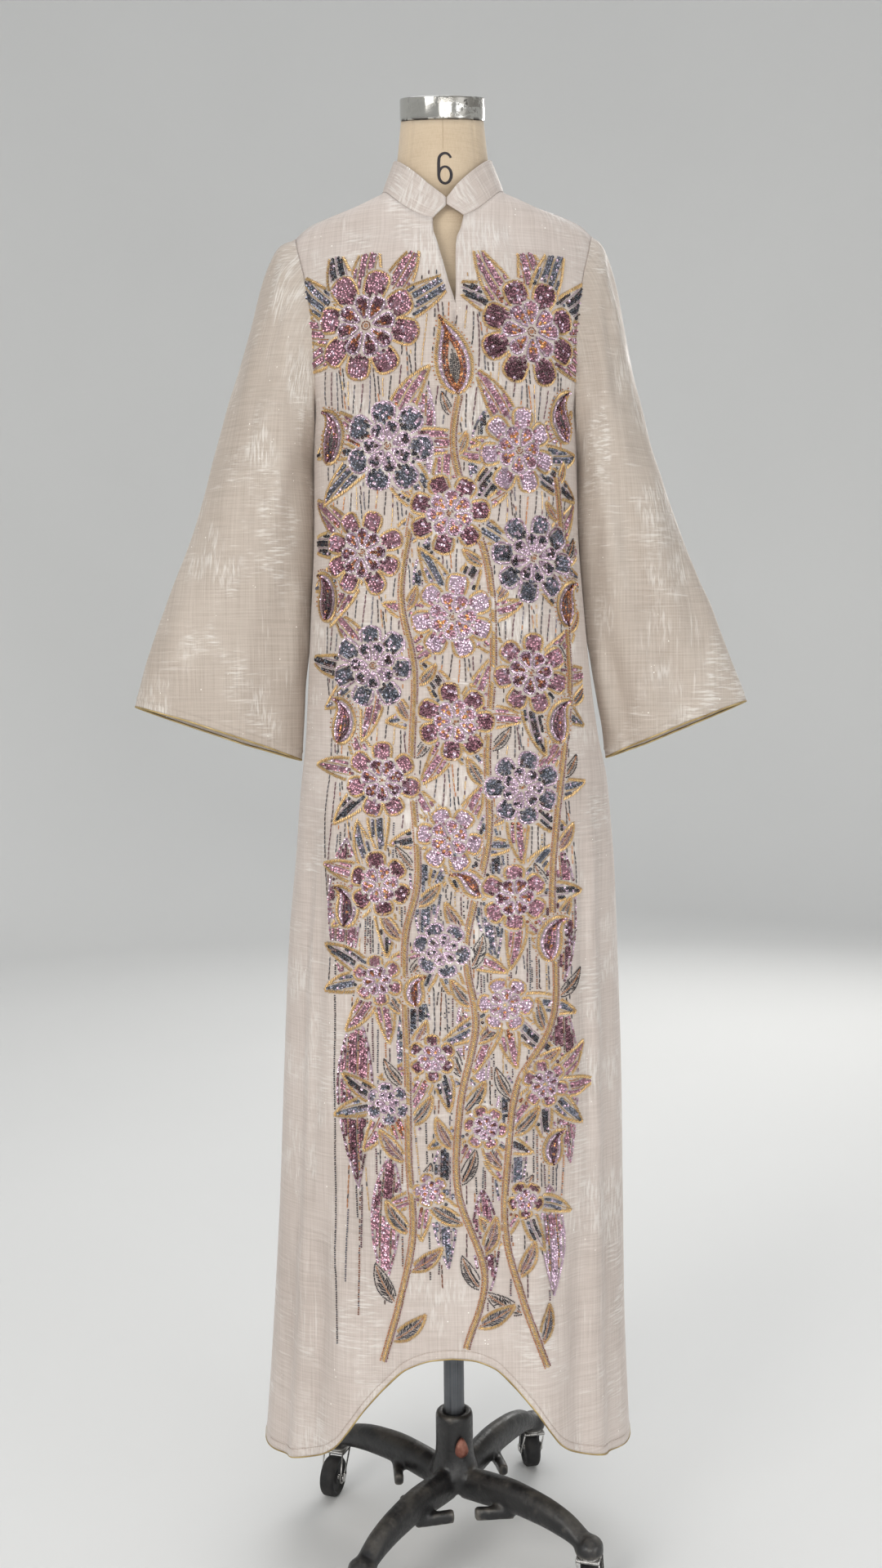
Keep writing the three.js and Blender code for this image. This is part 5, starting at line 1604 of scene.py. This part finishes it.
def vine(corners, every, length, width, colours, spread=48):
    """A corded stem with leaves to both sides in turn, smaller towards its end."""
    path = smooth_path(corners)
    lay("bar", path, "gold", 1.0, 58)
    lay("bead", beside(path, 3.4), "copper", 1.0)
    lay("bead", beside(path, -3.4), "rust", 1.0, other="mauve", share=0.4)
    claim()
    run = np.concatenate([[0], np.cumsum(np.hypot(*np.diff(path, axis=0).T))])
    for k, at in enumerate(np.arange(every * 0.6, run[-1], every)):
        spot = np.argmin(np.abs(run - at))
        on = path[min(spot + 2, len(path) - 1)] - path[max(spot - 2, 0)]
        side = 1 if k % 2 else -1
        heading = math.degrees(math.atan2(on[1], on[0])) + side * (spread + random.uniform(-7, 7))
        small = lerp(1, 0.55, at / run[-1]) * random.uniform(0.92, 1.08)
        trim, body = colours[k % len(colours)]
        root = path[spot] + 5 * np.array([math.cos(math.radians(heading)), math.sin(math.radians(heading))])
        leaf(root, heading, length * small, width * small, -side * 26, trim, body)


FLOWERS = (
    # across, up, radius, petals, turn, palette
    (-90, 1478, 64, 8, 10, "warm"), (100, 1470, 62, 8, 0, "rosy"), (-66, 1344, 52, 7, 20, "cool"),
    (84, 1338, 48, 7, 8, "dusk"), (4, 1268, 46, 7, 30, "rosy"), (-98, 1226, 50, 8, 0, "warm"),
    (102, 1218, 52, 8, 12, "cool"), (6, 1152, 48, 7, 4, "dusk"), (-86, 1098, 48, 7, 18, "cool"),
    (96, 1088, 46, 7, 5, "warm"), (8, 1034, 44, 7, 26, "rosy"), (-76, 968, 44, 7, 14, "warm"),
    (84, 958, 43, 7, 0, "cool"), (0, 902, 38, 6, 20, "dusk"), (-80, 850, 37, 6, 10, "rosy"),
    (74, 834, 39, 6, 2, "warm"), (-10, 776, 33, 6, 18, "cool"), (-84, 740, 29, 6, 8, "warm"),
    (62, 712, 32, 6, 24, "dusk"), (-22, 652, 27, 6, 0, "rosy"), (108, 618, 28, 6, 12, "warm"),
    (-74, 600, 24, 6, 4, "cool"), (38, 572, 25, 6, 20, "warm"), (-26, 500, 19, 5, 0, "dusk"),
    (84, 486, 21, 5, 14, "rosy"),
)
PALETTES = {
    "warm": ("mauve", "plum", "rust"), "rosy": ("plum", "mauve", "copper"),
    "dusk": ("lilac", "mauve", "copper"), "cool": ("slate", "gunmetal", "lilac"),
}
PAISLEYS = (
    # across and up at the root, heading, length, width, bend, ring, core
    (14, 1400, 96, 88, 40, 24, "rust", "gunmetal"), (-150, 1330, 66, 70, 34, 110, "mauve", "gunmetal"),
    (156, 1352, 118, 66, 32, -110, "mauve", "gunmetal"), (-154, 1150, 74, 66, 32, 115, "plum", "gunmetal"),
    (152, 1142, 104, 60, 30, -115, "rust", "slate"), (-132, 1010, 64, 60, 30, 115, "mauve", "gunmetal"),
    (132, 1008, 100, 58, 28, -110, "mauve", "gunmetal"), (34, 836, 118, 46, 24, 90, "rust", "slate"),
    (-124, 800, 74, 54, 26, 110, "plum", "slate"), (116, 760, 96, 60, 28, -110, "mauve", "gunmetal"),
    (-40, 712, 100, 40, 22, -100, "rust", "slate"), (118, 524, 96, 46, 24, -100, "plum", "slate"),
)
FRONDS = (
    # across and up at the root, first and last heading, how many, length, width
    (-90, 1478, 28, 200, 7, 122, 34), (100, 1470, -20, 152, 7, 120, 34), (-66, 1344, 150, 215, 3, 108, 30),
    (84, 1338, -30, 30, 3, 100, 28), (-66, 1344, -60, 60, 3, 100, 28), (84, 1338, 120, 230, 3, 98, 28),
    (-98, 1226, 140, 240, 4, 96, 28), (102, 1218, -50, 45, 4, 98, 28), (4, 1268, -30, 210, 5, 92, 26),
    (6, 1152, -40, 220, 6, 90, 26), (-86, 1098, 130, 260, 4, 92, 26), (96, 1088, -80, 40, 4, 92, 26),
    (8, 1034, -60, 240, 6, 86, 26), (-76, 968, 120, 270, 4, 88, 25), (84, 958, -90, 50, 4, 86, 25),
    (0, 902, -70, 250, 6, 78, 23), (-80, 850, 110, 275, 4, 80, 23), (74, 834, -95, 50, 4, 84, 24),
    (-10, 776, 200, 340, 4, 76, 22), (-84, 740, 150, 280, 4, 76, 22), (62, 712, 210, 350, 5, 84, 24),
    (-22, 652, 200, 330, 4, 74, 21), (108, 618, -130, 40, 5, 78, 22), (-74, 600, 150, 290, 4, 70, 20),
    (38, 572, 200, 330, 4, 70, 20), (-26, 500, 200, 320, 3, 62, 18), (84, 486, -120, -20, 3, 66, 18),
)
VINES = (
    [(14, 316), (36, 400), (6, 500), (10, 600), (28, 690), (18, 780), (44, 900), (44, 1000), (52, 1110),
     (46, 1210), (10, 1330), (16, 1404)],
    [(-82, 300), (-62, 370), (-46, 450), (-50, 540), (-50, 640), (-52, 780), (-36, 860), (-42, 980),
     (-38, 1090), (-52, 1180), (-34, 1290)],
    [(108, 290), (80, 370), (60, 450), (64, 540), (76, 620), (120, 700), (118, 840), (130, 960), (148, 1070),
     (148, 1200), (134, 1310)],
)
CLUSTERS = (
    # across and up at the top, heading, length, width, bend, palette
    (-120, 900, 266, 170, 40, 10, "warm"), (-28, 940, 272, 165, 38, -8, "cool"),
    (42, 930, 270, 170, 40, 9, "cool"), (122, 900, 275, 180, 42, -10, "rosy"),
    (-40, 740, 268, 170, 40, 8, "cool"), (22, 740, 272, 180, 40, -8, "dusk"),
    (128, 712, 270, 190, 42, 10, "warm"), (-108, 700, 266, 200, 44, 10, "rosy"),
    (-8, 560, 268, 150, 34, 8, "cool"), (64, 630, 272, 180, 40, -8, "cool"),
    (-70, 540, 264, 150, 34, 8, "warm"), (112, 500, 276, 130, 32, -8, "dusk"),
    (34, 500, 274, 130, 30, -6, "rosy"), (-20, 1240, 268, 120, 34, 6, "cool"),
    (44, 1380, 268, 120, 34, 6, "cool"), (-26, 1420, 266, 140, 36, 8, "dusk"),
)
TRAIL_TOP, TRAIL_STEP = 880, 5.0
GROUND_STEP = 6.2  # spacing of the lines of bugles between the motifs


def cluster(root, heading, length, width, bend, colours):
    """A hanging cluster: sequins in rows, closer and darker towards its middle, and a beaded edge."""
    made = Blade(root, heading, length, width, bend, "leaf", 1.6)
    outer, inner, core = colours
    lay("sequin", made.outline(0.6), outer, 0.7, other="lilac", share=0.5, pitch=1.15)
    for k, row in enumerate(made.rows(3.2, 3.0)):
        part = int(len(row) * random.uniform(0.35, 0.6))
        if k % 4 == 2:
            lay("bead", row, core, 1.0, other="gunmetal", share=0.3)
            continue
        lay("sequin", row[:part], inner, 0.86, other=outer, share=0.25)
        lay("sequin", row[part:], outer, 0.86, other="lilac", share=0.15)
    claim()


def trails():
    """Plain strings of beads that hang from the lower motifs, uneven in length."""
    tones = ("gunmetal", "copper", "slate", "plum", "gunmetal", "rust", "gunmetal", "gold", "plum", "slate")
    for k, across in enumerate(np.arange(-128, 134, TRAIL_STEP)):
        foot = read(HEM, "share", "z", abs(across) / 206) + 26
        low = foot + abs(math.sin(k * 1.9)) * 150 + random.uniform(0, 60) + 0.005 * across**2
        high = TRAIL_TOP + random.uniform(-90, 60)
        sway = random.uniform(-16, 16)
        s = np.linspace(0, 1, 90)
        path = np.column_stack([across + sway * np.sin(s * 2.4 + k), lerp(high, low, s)])
        colour = tones[k % len(tones)]
        if k % 3 == 1:
            lay("bugle", path, colour, 1.0, other="gunmetal", share=0.2)
        else:
            lay("bead", path, colour, 1.15, other="slate", share=0.2, pitch=1.1)
        claim()


def ground():
    """Wavering lines of bugles that fill the cloth between the motifs of the upper part."""
    tones = ("gunmetal", "plum", "slate", "gunmetal", "copper", "gunmetal", "gold")
    for k, across in enumerate(np.arange(-146, 150, GROUND_STEP)):
        high = 1545 - 0.0016 * across**2 - random.uniform(0, 26)
        low = 720 + random.uniform(-40, 60)
        z = np.linspace(high, low, 160)
        path = np.column_stack([across + 5 * np.sin(z / 38 + k * 0.9), z])
        lay("bugle", path, tones[k % len(tones)], 0.96, other=tones[(k + 2) % len(tones)], share=0.15)
        claim()


def draw_design():
    """The spray, front layers first: what comes later keeps off the cloth already taken."""
    for across, up, radius, petals, turn, palette in FLOWERS:
        trim = "lilac" if palette == "cool" else "gold"
        flower((across, up), radius, petals, turn, PALETTES[palette], trim)
    for across, up, *rest in PAISLEYS:
        paisley((across, up), *rest)
    leaves = (("gold", "slate"), ("gunmetal", "gunmetal"), ("gold", "mauve"))
    for corners in VINES:
        vine(corners, 42, 50, 17, leaves)
    tones = (
        ("gunmetal", "slate", "gold"), ("plum", "mauve", "copper"), ("rust", "mauve", "gold"),
        ("slate", "gunmetal", "lilac"),
    )
    for k, (across, up, first, last, count, length, width) in enumerate(FRONDS):
        for j, heading in enumerate(np.linspace(first, last, count)):
            bend = random.choice([-1, 1]) * random.uniform(14, 34)
            long = length * random.uniform(0.88, 1.06)
            frond((across, up), heading - bend / 2, long, width, bend, tones[(k + j) % 4])
    for across, up, heading, length, width, bend, palette in CLUSTERS:
        cluster((across, up), heading, length, width, bend, PALETTES[palette])
    trails()
    ground()


def ring_body(rings, sides):
    """A little body of revolution about its own X axis from (x, radius) pairs."""
    turn = np.linspace(0, 2 * np.pi, sides, endpoint=False)
    points = [(x, r * math.cos(t), r * math.sin(t)) for x, r in rings for t in turn]
    return np.array(points), grid_faces(len(rings), sides, closed=True, flip=True)


SEQUIN_SIDES = 7


def sequin_body():
    """A cupped ring."""
    turn = np.linspace(0, 2 * np.pi, SEQUIN_SIDES, endpoint=False)
    rings = [
        np.column_stack([r * np.cos(turn), r * np.sin(turn), np.full(SEQUIN_SIDES, z)])
        for r, z in ((2.25, 0.5), (0.5, 0.0))
    ]
    return np.vstack(rings), grid_faces(2, SEQUIN_SIDES, closed=True)


BODIES = {
    "sequin": sequin_body(),
    "bead": ring_body([(-0.75, 0.45), (0, 1.0), (0.75, 0.45)], 5),
    "bugle": ring_body([(-2.5, 0.5), (0, 0.74), (2.5, 0.5)], 4),
    "bar": ring_body([(-2.5, 0.5), (0, 0.92), (2.5, 0.5)], 4),
}
SIT = {"sequin": 0.5, "bead": 0.9, "bugle": 0.85, "bar": 1.0}  # height of each one's middle above the cloth


def on_cloth(spots):
    """Places on the worn front for spots of the flat one: origin, across, up and outward vectors."""
    triangles = np.vstack([front_faces[:, [0, 1, 2]], front_faces[:, [0, 2, 3]]])
    a, b, c = (front_flat[triangles[:, k]] for k in range(3))
    area = (b[:, 0] - a[:, 0]) * (c[:, 1] - a[:, 1]) - (b[:, 1] - a[:, 1]) * (c[:, 0] - a[:, 0])
    triangles = triangles[np.abs(area) > 1e-6]
    flat = np.column_stack([front_flat, np.zeros(len(front_flat))])
    tree = BVHTree.FromPolygons(flat.tolist(), triangles.tolist())
    found = [tree.find_nearest(Vector((u, v, 0))) for u, v in spots]
    near = np.array([hit[3] < 0.05 for hit in found])
    corners = triangles[[hit[2] for hit in found]]
    a, b, c = (front_flat[corners[:, k]] for k in range(3))
    pa, pb, pc = (front_points[corners[:, k]] for k in range(3))
    ab, ac = b - a, c - a
    scale = ab[:, 0] * ac[:, 1] - ab[:, 1] * ac[:, 0]

    def carried(d):
        first = (d[:, 0] * ac[:, 1] - d[:, 1] * ac[:, 0]) / scale
        second = (d[:, 1] * ab[:, 0] - d[:, 0] * ab[:, 1]) / scale
        return (pb - pa) * first[:, None] + (pc - pa) * second[:, None]

    across, up = carried(np.full_like(spots, (1, 0))), carried(np.full_like(spots, (0, 1)))
    out = np.cross(across, up)
    out /= np.linalg.norm(out, axis=1, keepdims=True)
    across /= np.linalg.norm(across, axis=1, keepdims=True)
    return near, pa + carried(spots - a), across, np.cross(out, across), out


SLIT_LOW, SLIT_CLEAR = 1486, 7  # where the slit's bare border starts, and how wide it is
DESIGN_HALF, DESIGN_TOP = 172, 1560


def kept_items(kind):
    """What is laid of one kind and lies on the front's cloth, sorted by its tint."""
    items = np.vstack(laid[kind])
    across, up = items[:, 0], items[:, 1]
    clear_of_slit = (up < SLIT_LOW) | (across < read(SLIT, "z", "left", up) - SLIT_CLEAR)
    clear_of_slit |= across > read(SLIT, "z", "right", up) + SLIT_CLEAR
    items = items[clear_of_slit & (np.abs(across) < DESIGN_HALF) & (up < DESIGN_TOP)]
    return items[np.argsort(items[:, 4], kind="stable")]


def sewn(kind, items):
    """Points, quads and tints of one kind of bead."""
    near, origin, across, up, out = on_cloth(items[:, :2])
    items, origin, across, up, out = items[near], origin[near], across[near], up[near], out[near]
    body, faces = BODIES[kind]
    count = len(items)
    local = body[None] * items[:, 3][:, None, None]
    lift = np.full(count, SIT[kind])
    if kind == "sequin":
        tilt = np.column_stack([random.normal(0.17, 0.15, count), random.normal(0, 0.16, count)])
        local[..., 2] += (local[..., :2] * tilt[:, None]).sum(axis=-1)
        lift += 2.2 * np.hypot(*tilt.T)
    c, s = np.cos(items[:, 2])[:, None], np.sin(items[:, 2])[:, None]
    along, aside = across * c + up * s, up * c - across * s
    points = origin[:, None] + out[:, None] * lift[:, None, None]
    for k, direction in enumerate((along, aside, out)):
        points = points + direction[:, None] * local[..., k:k + 1]
    quads = (faces[None] + np.arange(count)[:, None, None] * len(body)).reshape(-1, 4)
    return points.reshape(-1, 3), quads, np.repeat(items[:, 4], len(body))


SHADES = [(place, colour) for place, colour in COLOURS.values()]
draw_design()
for kind, name, roughness, metallic, parts in (
    ("sequin", "sequins", 0.14, 0.9, 2), ("bead", "seed_beads", 0.22, 0.6, 2),
    ("bugle", "bugles", 0.2, 0.65, 1), ("bar", "bullion", 0.27, 0.92, 2),
):
    finish = beads(name, roughness, metallic, *SHADES)
    for part, items in enumerate(np.array_split(kept_items(kind), parts), 1):
        points, faces, tint = sewn(kind, items)
        piece = new_mesh(f"{name}_{part}", points, faces, tint=tint, shade_smooth=kind != "sequin")
        finish_piece(piece, finish, "beadwork", "form")


# ---------------------------------------------------------------- topstitching
STITCH = {"pitch": 3.9, "up": 0.25}
STITCH_ROW = -6  # the row of a sleeve's points that lies under its stitching
STITCH_BODY = ring_body([(-1.5, 0.14), (-1.2, 0.32), (1.2, 0.32), (1.5, 0.14)], 4)


def stitched(path, points, faces):
    """Points and quads of a line of stitches laid on a worn surface."""
    tree = BVHTree.FromPolygons(points.tolist(), faces.tolist())
    run = np.concatenate([[0], np.cumsum(np.linalg.norm(np.diff(path, axis=0), axis=1))])
    at = np.arange(STITCH["pitch"] / 2, run[-1], STITCH["pitch"])
    spots = np.column_stack([np.interp(at, run, path[:, k]) for k in range(3)])
    ahead = np.column_stack([np.interp(at + 1, run, path[:, k]) for k in range(3)])
    hits = [tree.find_nearest(Vector(spot)) for spot in spots]
    on = np.array([hit[0] for hit in hits])
    out = np.array([hit[1] for hit in hits])
    along = ahead - spots
    along -= out * (along * out).sum(axis=1, keepdims=True)
    along /= np.linalg.norm(along, axis=1, keepdims=True)
    aside = np.cross(out, along)
    body, quads = STITCH_BODY
    centre = on + out * STITCH["up"]
    made = (centre[:, None] + along[:, None] * body[None, :, :1] + aside[:, None] * body[None, :, 1:2]
            + out[:, None] * body[None, :, 2:])
    return made.reshape(-1, 3), (quads[None] + np.arange(len(at))[:, None, None] * len(body)).reshape(-1, 4)


def add_stitching():
    lines = []
    for panel, points, faces in ((-1, front_points, front_faces), (1, back_points, back_faces)):
        path = hem_edge(panel)
        path[:, 2] += STITCH_UP
        lines.append(stitched(path[4:-4], points, faces))
    for side, hand in ((-1, "right"), (1, "left")):
        points, around = cuffs[hand]
        ring = points[STITCH_ROW * around:(STITCH_ROW + 1) * around]
        faces = grid_faces(len(points) // around, around, closed=True, flip=side < 0)
        lines.append(stitched(np.vstack([ring, ring[:1]]), points, faces))
    piece = new_mesh("topstitching", *joined(lines))
    finish_piece(piece, THREAD, "piping", "form")


add_stitching()

# ---------------------------------------------------------------- room and light
def plain_paint(name, colour, roughness):
    """Matt studio paint with faint cloudiness."""
    made = Finish(name, Roughness=roughness)
    cloud = made.noise(made.place("Object"), 0.8, 2.0)
    light = tuple(min(1, c * 1.03) for c in colour)
    made.feed(Base_Color=made.ramp(cloud, (0.3, colour), (0.7, light)))
    return made.material


ROOM = {"floor": 4.3, "sweep": 1.2, "height": 7.5}  # metres


def add_room():
    """A pale floor that rises in one sweep into a wall all round."""
    profile = [(0.0005, 0), (ROOM["floor"], 0)]
    flat, sweep = ROOM["floor"], ROOM["sweep"]
    arc = np.linspace(0.05, math.pi / 2, 14)
    profile += [(flat + sweep * math.sin(t), sweep - sweep * math.cos(t)) for t in arc]
    profile.append((flat + sweep, ROOM["height"]))
    points, faces = lathe([(r / MM, z / MM) for r, z in profile], 96)
    room = new_mesh("room", points, faces)
    room.data.materials.append(plain_paint("room_paint", (0.76, 0.76, 0.75), 0.85))


def add_light(name, place, aim, size, power, colour):
    data = bpy.data.lights.new(name, "AREA")
    data.shape = "RECTANGLE"
    data.size, data.size_y = size
    data.energy = power
    data.color = colour
    light = bpy.data.objects.new(name, data)
    bpy.context.scene.collection.objects.link(light)
    light.location = place
    light.rotation_euler = (Vector(aim) - Vector(place)).to_track_quat("-Z", "Y").to_euler()


def add_studio():
    world = bpy.data.worlds.new("studio")
    world.use_nodes = True
    background = world.node_tree.nodes["Background"]
    background.inputs["Color"].default_value = (0.95, 0.97, 1, 1)
    background.inputs["Strength"].default_value = 0.58
    bpy.context.scene.world = world
    bpy.context.scene.view_settings.view_transform = "Standard"
    warm, cool = (1, 0.985, 0.96), (0.95, 0.975, 1)
    add_light("key", (-2.2, -3.2, 2.3), (0, 0, 0.85), (1.6, 2.4), 62, warm)
    add_light("fill", (2.9, -2.4, 1.5), (0, 0, 0.8), (1.6, 2.4), 26, cool)
    add_light("low", (0.5, -3.4, 0.95), (0, 0, 0.4), (2.0, 1.2), 24, warm)
    add_light("top", (0, 0.4, 4.0), (0, 0, 0.9), (2.2, 2.2), 24, cool)
    add_light("rear", (1.4, 3.4, 2.4), (0, 0, 1.0), (1.8, 1.8), 50, warm)


add_room()
add_studio()
